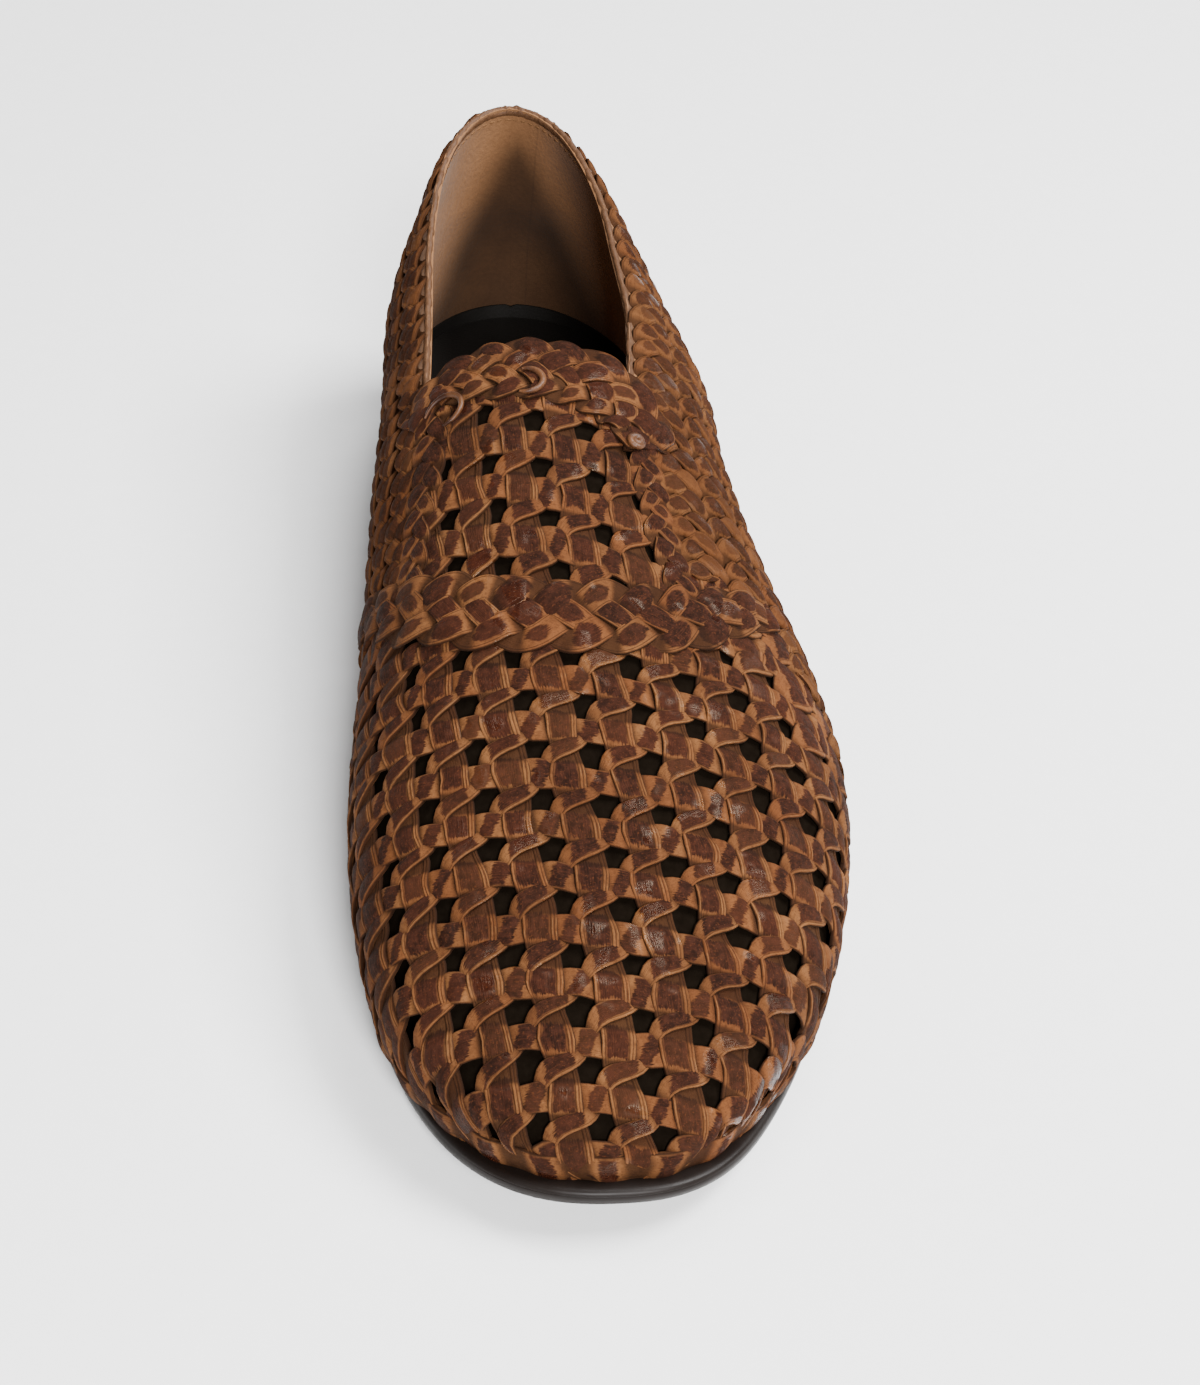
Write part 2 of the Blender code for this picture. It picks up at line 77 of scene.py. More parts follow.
class Finish:
    """A node material for one kind of leather, rubber or card, built up step by step."""

    def __init__(self, name, roughness=0.5, **settings):
        """settings: numbers for the shader's other sockets, with _ for each space."""
        self.material = bpy.data.materials.new(name)
        self.material.use_nodes = True
        self.tree = self.material.node_tree
        self.shader = self.tree.nodes["Principled BSDF"]
        self.shader.inputs["Roughness"].default_value = roughness
        for socket, value in settings.items():
            self.shader.inputs[socket.replace("_", " ")].default_value = value

    def feed(self, node, socket, value):
        """Set a socket to a number or a colour, or link it to another node's output."""
        if isinstance(value, bpy.types.NodeSocket):
            self.tree.links.new(value, node.inputs[socket])
        else:
            node.inputs[socket].default_value = value

    def node(self, kind, values=(), **settings):
        """A new node; values feed its sockets in their order, or by name or number."""
        node = self.tree.nodes.new("ShaderNode" + kind)
        for name, setting in settings.items():
            setattr(node, name, setting)
        for socket, value in values.items() if isinstance(values, dict) else enumerate(values):
            self.feed(node, socket, value)
        return node

    def value(self, name):
        """A number stored on the piece's points."""
        return self.node("Attribute", attribute_name=name).outputs["Fac"]

    def place(self):
        """The point's place on the object, in metres."""
        return self.node("TexCoord").outputs["Object"]

    def split(self, where):
        """The three numbers of a vector."""
        return self.node("SeparateXYZ", (where,)).outputs

    def together(self, x, y, z):
        """A vector made of three numbers."""
        return self.node("CombineXYZ", (x, y, z)).outputs[0]

    def math(self, kind, *values):
        """One step of arithmetic."""
        return self.node("Math", values, operation=kind).outputs[0]

    def times(self, one, two):
        """Two numbers multiplied."""
        return self.math("MULTIPLY", one, two)

    def apart(self, one, two):
        """How far a number lies from another."""
        return self.math("ABSOLUTE", self.math("SUBTRACT", one, two))

    def fade(self, value, start, end, low=0.0, high=1.0):
        """Smooth step of a number, from low at start to high at end."""
        ends = (value, start, end, low, high)
        return self.node("MapRange", ends, interpolation_type="SMOOTHSTEP").outputs[0]

    def noise(self, scale, detail, where=None, stretch=None):
        """Cloudy noise from 0 to 1; stretch gives its scale along x, y and z."""
        where = where or self.place()
        if stretch:
            where = self.node("Mapping", {"Vector": where, "Scale": stretch}).outputs[0]
        cloud = self.node("TexNoise", {"Vector": where, "Scale": scale, "Detail": detail})
        return cloud.outputs["Fac"]

    def chance(self, where):
        """A random number from 0 to 1 for each cell of a vector."""
        cells = self.node("TexWhiteNoise", {"Vector": where}, noise_dimensions="3D")
        return cells.outputs["Value"]

    def blend(self, share, one, two):
        """Mix of two colours."""
        values = {0: share}
        for socket, colour in ((6, one), (7, two)):
            linked = isinstance(colour, bpy.types.NodeSocket)
            values[socket] = colour if linked else (*colour, 1)
        return self.node("Mix", values, data_type="RGBA").outputs[2]

    def layer(self, colour, over, number, start, end, share):
        """A colour laid over another, more and more as a number runs from start to end."""
        return self.blend(self.fade(number, start, end, 0.0, share), colour, over)

    def colour(self, value):
        """Give the finish its colour."""
        self.feed(self.shader, "Base Color", value)

    def mottle(self, scale, detail, one, two):
        """Give the finish clouds of two colours."""
        self.colour(self.blend(self.noise(scale, detail), one, two))

    def rough(self, value):
        """Give the finish its roughness."""
        self.feed(self.shader, "Roughness", value)

    def bump(self, height, depth):
        """Relief of a height from 0 to 1, depth in metres."""
        node = self.node("Bump", {"Strength": 1.0, "Distance": depth, "Height": height})
        before = self.shader.inputs["Normal"].links
        if before:
            self.tree.links.new(before[0].from_socket, node.inputs["Normal"])
        self.tree.links.new(node.outputs[0], self.shader.inputs["Normal"])


def add_floor():
    """Pale paper floor, far wider than the view."""
    paper = Finish("floor_paper", 0.9)
    paper.mottle(180.0, 4.0, (0.86, 0.86, 0.86), (0.90, 0.90, 0.90))
    half = 4.0
    mesh = bpy.data.meshes.new("floor")
    corners = [(-half, -half, 0), (half, -half, 0), (half, half, 0), (-half, half, 0)]
    mesh.from_pydata(corners, [], [(0, 1, 2, 3)])
    mesh.materials.append(paper.material)
    floor = bpy.data.objects.new("floor", mesh)
    bpy.context.scene.collection.objects.link(floor)


add_camera()
add_floor()
add_lamp("lamp_outer_side", (0.75, 0.05, 1.20), 0.60, 46.0)
add_lamp("lamp_front", (0.12, -1.25, 1.0), 0.50, 60.0)
add_lamp("lamp_over_heel", (0.25, 0.60, 1.30), 0.50, 12.0)
world = bpy.data.worlds.new("soft_room")
world.use_nodes = True
background = world.node_tree.nodes["Background"]
background.inputs["Color"].default_value = (1.0, 1.0, 1.0, 1)
background.inputs["Strength"].default_value = 0.33
bpy.context.scene.world = world


# ------------------------------------------------------------------ leather sole
# One leather outsole, its edge trimmed, rounded, dressed almost black and polished, with a
# fine groove run round it below the top corner.  It is cemented to the upper.
LENGTH = 0.300
OUTSOLE = 0.0045             # its thickness
HEEL_LIFT = 0.0175           # rise of the heel seat above the tread
BREAST = 0.078               # the heel's front face, from the back of the shoe
TREAD_FROM = 0.200           # ends of the flat part under the ball of the foot
TREAD_TO = 0.232
TOE_SPRING = 0.009           # rise of the sole at the tip of the toe
UPPER_BACK = 0.003           # both ends of the upper's seat
UPPER_TOE = 0.297
TOE_ROUND = 0.218            # where the toe's curve starts
TOE_SQUARENESS = 2.5
HEEL_ROUND_SEAT = 0.033      # length of the heel's curve at the seat

# The last's cross sections from the back of the heel to the tip of the toe: its middle line;
# half widths at the widest line and at the seat; height of the widest line above the seat and
# of the crown above the ground; how far the ridge lies off the middle; how far the top leans.
COLUMNS = ("along", "middle", "inner", "outer", "seat_in", "seat_out", "bulge", "crown", "ridge",
           "sway")
SECTIONS = np.array((
    (0.000, -0.0035, 0.0345, 0.0336, 0.0320, 0.0315, 0.024, 0.1175, 0.0000, -0.0035),
    (0.030, -0.0038, 0.0336, 0.0338, 0.0315, 0.0320, 0.024, 0.1080, 0.0000, -0.0036),
    (0.060, -0.0050, 0.0357, 0.0370, 0.0300, 0.0335, 0.025, 0.0928, 0.0000, -0.0014),
    (0.090, -0.0055, 0.0377, 0.0436, 0.0290, 0.0355, 0.026, 0.0850, -0.0010, 0.0000),
    (0.120, -0.0055, 0.0412, 0.0455, 0.0290, 0.0390, 0.026, 0.0820, -0.0020, 0.0000),
    (0.150, -0.0055, 0.0437, 0.0516, 0.0320, 0.0425, 0.025, 0.0765, -0.0035, 0.0000),
    (0.180, -0.0042, 0.0487, 0.0575, 0.0410, 0.0505, 0.024, 0.0700, -0.0045, 0.0000),
    (0.210, -0.0022, 0.0533, 0.0580, 0.0480, 0.0525, 0.021, 0.0600, -0.0055, 0.0000),
    (0.235, -0.0015, 0.0534, 0.0532, 0.0485, 0.0490, 0.018, 0.0508, -0.0055, 0.0000),
    (0.260, -0.0022, 0.0500, 0.0472, 0.0460, 0.0430, 0.016, 0.0433, -0.0045, 0.0000),
    (0.280, -0.0032, 0.0475, 0.0422, 0.0445, 0.0390, 0.014, 0.0392, -0.0045, 0.0000),
    (0.300, -0.0041, 0.0458, 0.0390, 0.0440, 0.0370, 0.012, 0.0366, -0.0045, 0.0000),
))

# How far the outsole's edge stands out beyond the upper.
SOLE_LEDGE = np.array(((0.000, 0.0030), (0.050, 0.0018), (0.120, 0.0015), (0.190, 0.0027),
                       (0.240, 0.0028), (0.280, 0.0034), (0.300, 0.0042)))


def through(places, values, at):
    """Smooth curve through a column of a table."""
    step = np.diff(places)
    slope = np.diff(values) / step
    tangent = np.empty(len(places))
    tangent[0] = slope[0]
    tangent[-1] = slope[-1]
    tangent[1:-1] = (slope[:-1] * step[1:] + slope[1:] * step[:-1]) / (step[1:] + step[:-1])
    row = np.clip(np.searchsorted(places, at, side="right") - 1, 0, len(step) - 1)
    t = (at - places[row]) / step[row]
    blend = t * t * (3 - 2 * t)
    bow = step[row] * t * (1 - t) * (tangent[row] * (1 - t) - tangent[row + 1] * t)
    return values[row] * (1 - blend) + values[row + 1] * blend + bow


def column(name, along):
    """One size of the last, at a distance from the heel's back."""
    return through(SECTIONS[:, 0], SECTIONS[:, COLUMNS.index(name)], along)


def ease(t):
    """0 to 1 with level ends."""
    t = np.clip(t, 0, 1)
    return t * t * (3 - 2 * t)


def rounding(t, power):
    """1 to 0 as t runs from 0 to 1, like the end of a superellipse."""
    return (1 - np.clip(t, 0, 1) ** power) ** (1 / power)


def sole_top(along):
    """Height of the outsole's top: heel seat, waist, flat tread and toe spring."""
    seat = HEEL_LIFT * ease((TREAD_FROM - along) / (TREAD_FROM - BREAST))
    spring = TOE_SPRING * np.clip((along - TREAD_TO) / (LENGTH - TREAD_TO), 0, None) ** 2
    return OUTSOLE + seat + spring


def ledge(along):
    """How far the outsole stands out beyond the upper's seat."""
    return through(SOLE_LEDGE[:, 0], SOLE_LEDGE[:, 1], along)


def outline(grow, count):
    """Plan of the upper's seat moved out square to itself: outer and inner edge, heel to toe."""
    turn = np.linspace(0, np.pi, 500)
    along = UPPER_BACK + (UPPER_TOE - UPPER_BACK) * (1 - np.cos(turn)) / 2
    toe = rounding((along - TOE_ROUND) / (UPPER_TOE - TOE_ROUND), TOE_SQUARENESS)
    heel = rounding((UPPER_BACK + HEEL_ROUND_SEAT - along) / HEEL_ROUND_SEAT, 2)
    edges = []
    for side, name in ((1, "seat_out"), (-1, "seat_in")):
        x = column("middle", along) + side * column(name, along) * toe * heel
        way = np.stack((np.gradient(x), np.gradient(along)))
        way = way / np.linalg.norm(way, axis=0)
        way[:, 0] = (side, 0)
        way[:, -1] = (-side, 0)
        out_x = x + side * way[1] * grow(along)
        out_along = along - side * way[0] * grow(along)
        share = (1 - np.cos(np.linspace(0, np.pi, count))) / 2
        places = out_along[0] + (out_along[-1] - out_along[0]) * share
        edges.append(np.stack((np.interp(places, out_along, out_x), LENGTH / 2 - places), axis=1))
    return edges


def add_piece(name, points, faces, finish, values=None, sharp=None):
    """A mesh object of points and faces, with numbers stored on its points."""
    mesh = bpy.data.meshes.new(name)
    mesh.from_pydata(np.asarray(points).tolist(), [], [tuple(face) for face in faces])
    for key, numbers in (values or {}).items():
        stored = mesh.attributes.new(key, "FLOAT", "POINT")
        stored.data.foreach_set("value", np.asarray(numbers, np.float32))
    mesh.shade_smooth()
    if sharp:
        mesh.set_sharp_from_angle(angle=np.radians(sharp))
    mesh.materials.append(finish.material)
    piece = bpy.data.objects.new(name, mesh)
    bpy.context.scene.collection.objects.link(piece)
    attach(piece, "root")
    return piece


def ring_faces(rings, count, closed=True):
    """Quads between rings of count points each, numbered ring after ring."""
    ring = np.arange(rings - 1)[:, None] * count
    k = np.arange(count if closed else count - 1)[None, :]
    after = (k + 1) % count
    quads = (ring + k, ring + after, ring + count + after, ring + count + k)
    return np.stack(quads, axis=2).reshape(-1, 4)


def add_slab(name, levels, finish):
    """Closed slab of levels from the bottom up, each a pair of edges with heights."""
    points = []
    for (outer, inner), height in levels:
        ring = np.vstack((outer, inner[-2:0:-1]))
        points.append(np.column_stack((ring, height(LENGTH / 2 - ring[:, 1]))))
    count = len(points[0])
    faces = ring_faces(len(levels), count).tolist()
    half = len(levels[0][0][0])
    for start, flip in ((0, True), ((len(levels) - 1) * count, False)):
        for k in range(half - 1):
            left = [start + k, start + k + 1]
            right = [start + (count - k - 1) % count, start + (count - k) % count]
            quad = list(dict.fromkeys(left + right))
            faces.append(quad[::-1] if flip else quad)
    return add_piece(name, np.vstack(points), faces, finish, sharp=50)


sole_finish = Finish("polished_sole_edge", 0.40, Specular_IOR_Level=0.16)
sole_finish.mottle(60.0, 4.0, (0.0036, 0.0023, 0.0018), (0.0088, 0.0056, 0.0044))
sole_finish.rough(sole_finish.fade(sole_finish.noise(90.0, 5.0), 0.3, 0.7, 0.34, 0.50))
sole_finish.bump(sole_finish.noise(500.0, 2.0), 0.00003)

SOLE_EDGE = (
    # up from the underside, in from the edge
    (0.0000, 0.0014), (0.0003, 0.0006), (0.0010, 0.0001), (0.0020, 0.0000), (0.0027, 0.0001),
    (0.0030, 0.0003), (0.0033, 0.0001), (0.0038, 0.0003), (0.0042, 0.0008), (0.0044, 0.0015),
    (0.0045, 0.0024),
)
levels = []
for up, back in SOLE_EDGE:
    edges = outline(lambda along, b=back: ledge(along) - b, 110)
    levels.append((edges, lambda along, u=up: sole_top(along) - OUTSOLE + u))
sole = add_slab("leather_outsole", levels, sole_finish)
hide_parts("outsole")


# ------------------------------------------------------------------ heel
# Low heel of glued leather lifts, dressed like the sole's edge, with a rubber piece nailed
# under it.
HEEL_LAYER = 0.0030

heel_finish = Finish("polished_heel_leather", 0.46, Specular_IOR_Level=0.14)
height = heel_finish.split(heel_finish.place())[2]
layer = heel_finish.math("FRACT", heel_finish.math("DIVIDE", height, HEEL_LAYER))
seam = heel_finish.fade(heel_finish.apart(layer, 0.5), 0.40, 0.48)
grain = heel_finish.noise(120.0, 4.0, stretch=(1, 1, 6))
body = heel_finish.blend(grain, (0.0055, 0.0030, 0.0022), (0.0150, 0.0082, 0.0055))
heel_finish.colour(heel_finish.blend(seam, body, (0.006, 0.004, 0.003)))
heel_finish.bump(heel_finish.math("SUBTRACT", 1.0, seam), 0.0002)
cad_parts["heel_stack"].material_slots[0].material = heel_finish.material

rubber_finish = Finish("heel_rubber", 0.62)
rubber_finish.mottle(300.0, 3.0, (0.009, 0.009, 0.009), (0.020, 0.019, 0.018))
rubber_finish.bump(rubber_finish.noise(1500.0, 2.0), 0.0001)
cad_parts["top_lift"].material_slots[0].material = rubber_finish.material


# ------------------------------------------------------------------ insole
# Smooth black leather insole with fine lengthwise creases, cut to the inside of the upper and
# glued down on the outsole.
insole_finish = Finish("black_insole_leather", 0.6, Specular_IOR_Level=0.08)
crease = insole_finish.noise(55.0, 5.0, stretch=(1.0, 0.35, 1.0))
insole_finish.colour(insole_finish.blend(crease, (0.003, 0.0027, 0.0024), (0.009, 0.0080, 0.0070)))
insole_finish.rough(insole_finish.fade(crease, 0.35, 0.65, 0.42, 0.62))
insole_finish.bump(insole_finish.noise(1400.0, 3.0), 0.0001)
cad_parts["insole"].material_slots[0].material = insole_finish.material


# ------------------------------------------------------------------ lining
# Tan suede lining of the quarters, joined by a seam at the heel and darkened round the heel by
# painted shade and some wear, and a black sheet behind the open weave of the vamp whose colour is
# painted shade for the holes.
TOPLINE = np.array((
    # along   inner   outer
    (0.003, 0.0912, 0.0912),
    (0.020, 0.0885, 0.0900),
    (0.060, 0.0785, 0.0834),
    (0.090, 0.0730, 0.0796),
    (0.120, 0.0705, 0.0782),
))
TOPLINE_END = 0.119                   # its table is read no further than this
THROAT = {1: 0.1150, -1: 0.1080}      # where the top line stops, on the outer and inner side
GAP = 0.0003                          # between the upper and the outsole
TOE_DROP = 0.230                      # the toe box starts to come down here
HEEL_ROUND_TOP = 0.070                # length of the heel's curve at the top line
UNDERCUT = np.radians(70)             # how far the skin turns in under its widest line
STATIONS = 280                        # how finely the last's skin is worked out
ACROSS = 90
PROFILE_STEPS = 60

# How square the cross section is over the foot, along the last: 2 is an ellipse.
ROUNDNESS = np.array(((0.00, 2.00), (0.10, 2.00), (0.15, 1.92), (0.21, 1.98), (0.30, 2.10)))


def profile(along, side):
    """Outside of the upper on one side, from the sole to the ridge, for each place along."""
    floor = sole_top(along) + GAP
    toe = rounding((along - TOE_ROUND) / (UPPER_TOE - TOE_ROUND), TOE_SQUARENESS)
    drop = rounding((along - TOE_DROP) / (UPPER_TOE - TOE_DROP), 2.6)
    ridge = column("ridge", along) * toe
    full = column("outer" if side > 0 else "inner", along) * toe - side * ridge
    seat = column("seat_out" if side > 0 else "seat_in", along) * toe - side * ridge
    crown = floor + (column("crown", along) - floor) * drop
    bulge = floor + column("bulge", along) * drop
    sharpness = 2 / through(ROUNDNESS[:, 0], ROUNDNESS[:, 1], along)
    turn = np.linspace(1, 0, PROFILE_STEPS)
    under = UNDERCUT * turn
    low_x = full[:, None] - np.outer(full - seat, (1 - np.cos(under)) / (1 - np.cos(UNDERCUT)))
    low_z = bulge[:, None] - np.outer(bulge - floor, np.sin(under) / np.sin(UNDERCUT))
    over = np.pi / 2 * turn[1:]
    high_x = full[:, None] * np.sin(over) ** sharpness[:, None]
    high_z = bulge[:, None] + (crown - bulge)[:, None] * np.abs(np.cos(over)) ** sharpness[:, None]
    x = np.hstack((low_x, high_x))
    z = np.hstack((low_z, high_z))
    up = z - floor[:, None]
    radius = HEEL_ROUND_SEAT + (HEEL_ROUND_TOP - HEEL_ROUND_SEAT) * np.clip(up / 0.060, 0, 1)
    x = x * rounding((UPPER_BACK + radius - along[:, None]) / radius, 2)
    run = np.hypot(np.diff(x), np.diff(z)).cumsum(axis=1)
    run = np.hstack((np.zeros((len(along), 1)), run))
    heel = np.clip(1 - (along - UPPER_BACK) / 0.060, 0, 1)[:, None] ** 2
    counter = 0.0030 * np.sin(np.pi * np.clip(up / 0.040, 0, 1))
    lean = 0.0023 * np.clip((up - 0.020) / 0.045, 0, None) ** 1.5
    y = LENGTH / 2 - along[:, None] + (counter - lean) * heel
    sway = column("sway", along)[:, None] * np.clip(up / 0.065, 0, 1) ** 1.5
    x = (column("middle", along) + ridge)[:, None] + sway + side * x
    return x, y, z, run


class Last:
    """The last's skin as a table of points and normals, looked up by along and reach.

    reach is the distance across from the ridge, positive towards the outer side.
    """

    def __init__(self):
        """Work out both sides of the skin at every station."""
        turn = np.linspace(0, np.pi, STATIONS)
        along = UPPER_BACK + (UPPER_TOE - UPPER_BACK) * (1 - np.cos(turn)) / 2
        self.along = np.clip(along, UPPER_BACK + 1e-9, UPPER_TOE - 1e-9)
        self.points = {}
        self.normals = {}
        self.half = {}
        self.topline = {}
        share = np.linspace(0, 1, ACROSS)
        for side in (1, -1):
            x, y, z, run = profile(self.along, side)
            grid = np.empty((STATIONS, ACROSS, 3))
            rim = np.zeros(STATIONS)
            heights = TOPLINE[:, 2 if side > 0 else 1]
            height = through(TOPLINE[:, 0], heights, np.minimum(self.along, TOPLINE_END))
            for row in range(STATIONS):
                at = share * run[row, -1]
                for axis, curve in enumerate((x, y, z)):
                    grid[row, :, axis] = np.interp(at, run[row], curve[row])
                rim[row] = run[row, -1] - np.interp(height[row], z[row], run[row])
            lengthwise = np.gradient(grid, axis=0)
            crosswise = np.gradient(grid, axis=1)
            normal = np.cross(crosswise, lengthwise) * side
            size = np.linalg.norm(normal, axis=2, keepdims=True)
            normal = normal / np.maximum(size, 1e-12)
            normal[0] = (0, 1, 0)
            self.points[side] = grid
            self.normals[side] = normal
            self.half[side] = run[:, -1]
            self.topline[side] = np.where(self.along < THROAT[side], rim, 0.0)

    def edge(self, kind, along, side):
        """half: reach of the sole's edge; topline: reach of the top line, 0 past the throat."""
        return np.interp(along, self.along, getattr(self, kind)[side])

    def run(self, along, reach):
        """Distance along a line of places, from its first."""
        steps = np.diff(self.skin(along, reach), axis=0)
        return np.concatenate(([0], np.linalg.norm(steps, axis=1).cumsum()))

    def skin(self, along, reach, lift=0.0):
        """Points at places on the last, lifted off it."""
        along, reach, lift = np.broadcast_arrays(along, reach, lift)
        shape = along.shape
        along, reach, lift = along.ravel(), reach.ravel(), lift.ravel()
        at = np.interp(along, self.along, np.arange(STATIONS))
        row = np.clip(at.astype(int), 0, STATIONS - 2)
        mix = (at - row)[:, None]
        point = np.zeros((len(along), 3))
        normal = np.zeros((len(along), 3))
        below = np.zeros(len(along))
        for side in (1, -1):
            here = reach >= 0 if side > 0 else reach < 0
            for k, weight in ((0, 1 - mix[here]), (1, mix[here])):
                half = self.half[side][row[here] + k]
                share = 1 - np.abs(reach[here]) / half
                below[here] += weight[:, 0] * np.minimum(share, 0) * half
                place = np.clip(share, 0, 1) * (ACROSS - 1)
                col = np.clip(place.astype(int), 0, ACROSS - 2)
                part = (place - col)[:, None]
                for table, total in ((self.points, point), (self.normals, normal)):
                    grid = table[side]
                    left = grid[row[here] + k, col]
                    right = grid[row[here] + k, col + 1]
                    total[here] += weight * (left * (1 - part) + right * part)
        normal /= np.maximum(np.linalg.norm(normal, axis=1, keepdims=True), 1e-9)
        point = point + normal * lift[:, None]
        point[:, 2] += below
        return point.reshape(*shape, 3)


last = Last()


def add_shell(name, along, reach, outside, inside, finish, values=None):
    """Thin closed shell over a grid of places on the last, between two depths."""
    outer = last.skin(along, reach, outside)
    inner = last.skin(along, reach, inside)
    points = np.vstack((outer.reshape(-1, 3), inner.reshape(-1, 3)))
    rows, cols = along.shape
    number = np.arange(rows * cols).reshape(rows, cols)
    loop = np.concatenate((number[:, 0], number[-1, 1:], number[-2::-1, -1], number[0, -2:0:-1]))
    after = np.roll(loop, -1)
    rim = np.stack((loop + number.size, after + number.size, after, loop), axis=1)
    skin = ring_faces(rows, cols, closed=False)
    faces = np.vstack((skin, skin[:, ::-1] + number.size, rim)).tolist()
    values = {key: np.tile(numbers.ravel(), 2) for key, numbers in (values or {}).items()}
    return add_piece(name, points, faces, finish, values, sharp=50)


def from_heel(end, count, clear=0.0):
    """Places along from the heel's back, closer together round the heel."""
    turn = np.linspace(0, np.pi / 2, count)
    return UPPER_BACK + clear + (end - UPPER_BACK) * (1 - np.cos(turn))


suede = Finish("tan_suede_lining", 0.85, Specular_IOR_Level=0.1, Sheen_Weight=0.05,
               Sheen_Roughness=0.5)
cloud = suede.noise(28.0, 5.0)
nap = suede.noise(900.0, 3.0)
tan = suede.blend(cloud, (0.132, 0.061, 0.025), (0.182, 0.089, 0.040))
tan = suede.layer(tan, (0.105, 0.046, 0.018), nap, 0.35, 0.75, 0.35)
# Darker where the points' stored number is high: painted shade round the heel, with some wear.
shade_and_wear_share = suede.times(suede.value("shade_and_wear"), suede.fade(suede.noise(40.0, 3.0), 0.2, 0.8, 0.85, 1.0))
tan = suede.blend(shade_and_wear_share, tan, (0.0070, 0.0030, 0.0015))
across, lengthwise, _ = suede.split(suede.place())
seam = suede.fade(suede.apart(across, 0.0005), 0.0001, 0.0004, 0.18, 0.0)
seam = suede.times(seam, suede.fade(lengthwise, 0.125, 0.130))
tan = suede.blend(seam, tan, (0.012, 0.006, 0.004))
suede.colour(tan)
suede.bump(nap, 0.0002)
suede.bump(suede.noise(70.0, 3.0), 0.0006)

LINING = (-0.0010, -0.0026)           # its two faces, lifted off the last
LINING_END = 0.1145
ABOVE_SEAT = 0.0005                   # linings stop this short of the upper's seat
HEEL_MIDDLE = -0.0045
SHADE_AND_WEAR_OUTER = (0.033, 0.115)           # dark patch of painted shade and wear: half width at the seat, and where it ends
SHADE_AND_WEAR_INNER = (0.029, 0.075)


def quarter_lining():
    """Lining of both quarters, from the throat's corners to the heel, with a dark patch of painted
    shade and wear round the heel.
    """
    share = np.linspace(0, 1, 26)[None, :]
    for side, name in ((1, "quarter_lining_outer"), (-1, "quarter_lining_inner")):
        along = from_heel(LINING_END, 70)
        top = last.edge("topline", np.minimum(along, THROAT[side] - 1e-4), side)
        top = np.maximum(top, 0.006)
        low = last.edge("half", along, side) - ABOVE_SEAT
        reach = side * (top[:, None] + (low - top)[:, None] * share)
        grid = np.repeat(along[:, None], 26, axis=1)
        across = last.skin(grid, reach, LINING[1])[:, :, 0] - HEEL_MIDDLE
        half, end = (np.where(across > 0, *pair) for pair in zip(SHADE_AND_WEAR_OUTER, SHADE_AND_WEAR_INNER))
        half = half * share - 0.0020
        behind = ease((end - along[:, None]) / 0.030)
        # Dark patch of painted shade and wear, wider and running further forward on the outer wall,
        # which lies in shade.
        shade_and_wear = behind * ease((half + 0.006 - np.abs(across)) / 0.012) * ease(share / 0.25) * 0.92
        piece = add_shell(name, grid, reach, *LINING, suede, {"shade_and_wear": shade_and_wear})


quarter_lining()

SOCK_RIM = (-0.0026, -0.0033)         # its two faces, lifted off the last
SOCK_RIM_END = 0.150
SOCK_RIM_HEIGHT = 0.0046


def sock_rim():
    """The black insole's turned-up edge, standing against the lining round the heel."""
    share = np.linspace(0, 1, 10)[None, :]
    for side, name, rise in ((1, "sock_rim_outer", 0.0075), (-1, "sock_rim_inner", 0.0030)):
        along = from_heel(SOCK_RIM_END, 60)
        low = last.edge("half", along, side) - ABOVE_SEAT
        height = SOCK_RIM_HEIGHT + rise * ease((along - 0.010) / 0.060)
        reach = side * (low[:, None] - height[:, None] * share)
        grid = np.repeat(along[:, None], 10, axis=1)
        piece = add_shell(name, grid, reach, *SOCK_RIM, insole_finish)


sock_rim()

# Near black matte sheet just under the vamp's weave: painted shade for the dark inside of the shoe,
# seen through the holes.
shade_sheet_finish = Finish("black_painted_shade_sheet", 0.95, Specular_IOR_Level=0.0)
shade_sheet_finish.mottle(500.0, 2.0, (0.0022, 0.0015, 0.0010), (0.0060, 0.0042, 0.0028))
shade_sheet_finish.bump(shade_sheet_finish.noise(1200.0, 2.0), 0.0001)

SHADE_SHEET = (-0.0018, -0.0023)      # its two faces, lifted off the last
SHADE_SHEET_BACK = 0.1085


def vamp_shade_sheet():
    """Black sheet of painted shade from the throat to the toe, between the two lines of the sole's
    edge, that darkens the weave's holes.
    """
    length = UPPER_TOE - 0.0006 - SHADE_SHEET_BACK
    along = SHADE_SHEET_BACK + length * np.sin(np.linspace(0, np.pi / 2, 90))[:, None]
    share = np.linspace(-1, 1, 81)[None, :]
    low_out = last.edge("half", along, 1) - ABOVE_SEAT
    low_in = last.edge("half", along, -1) - ABOVE_SEAT
    reach = share * np.where(share > 0, low_out, low_in)
    corners = np.clip(1 - (along - SHADE_SHEET_BACK) / 0.02, 0, 1) * np.abs(share)
    piece = add_shell("vamp_shade_sheet", along + 0.003 * corners, reach, *SHADE_SHEET, shade_sheet_finish)


vamp_shade_sheet()


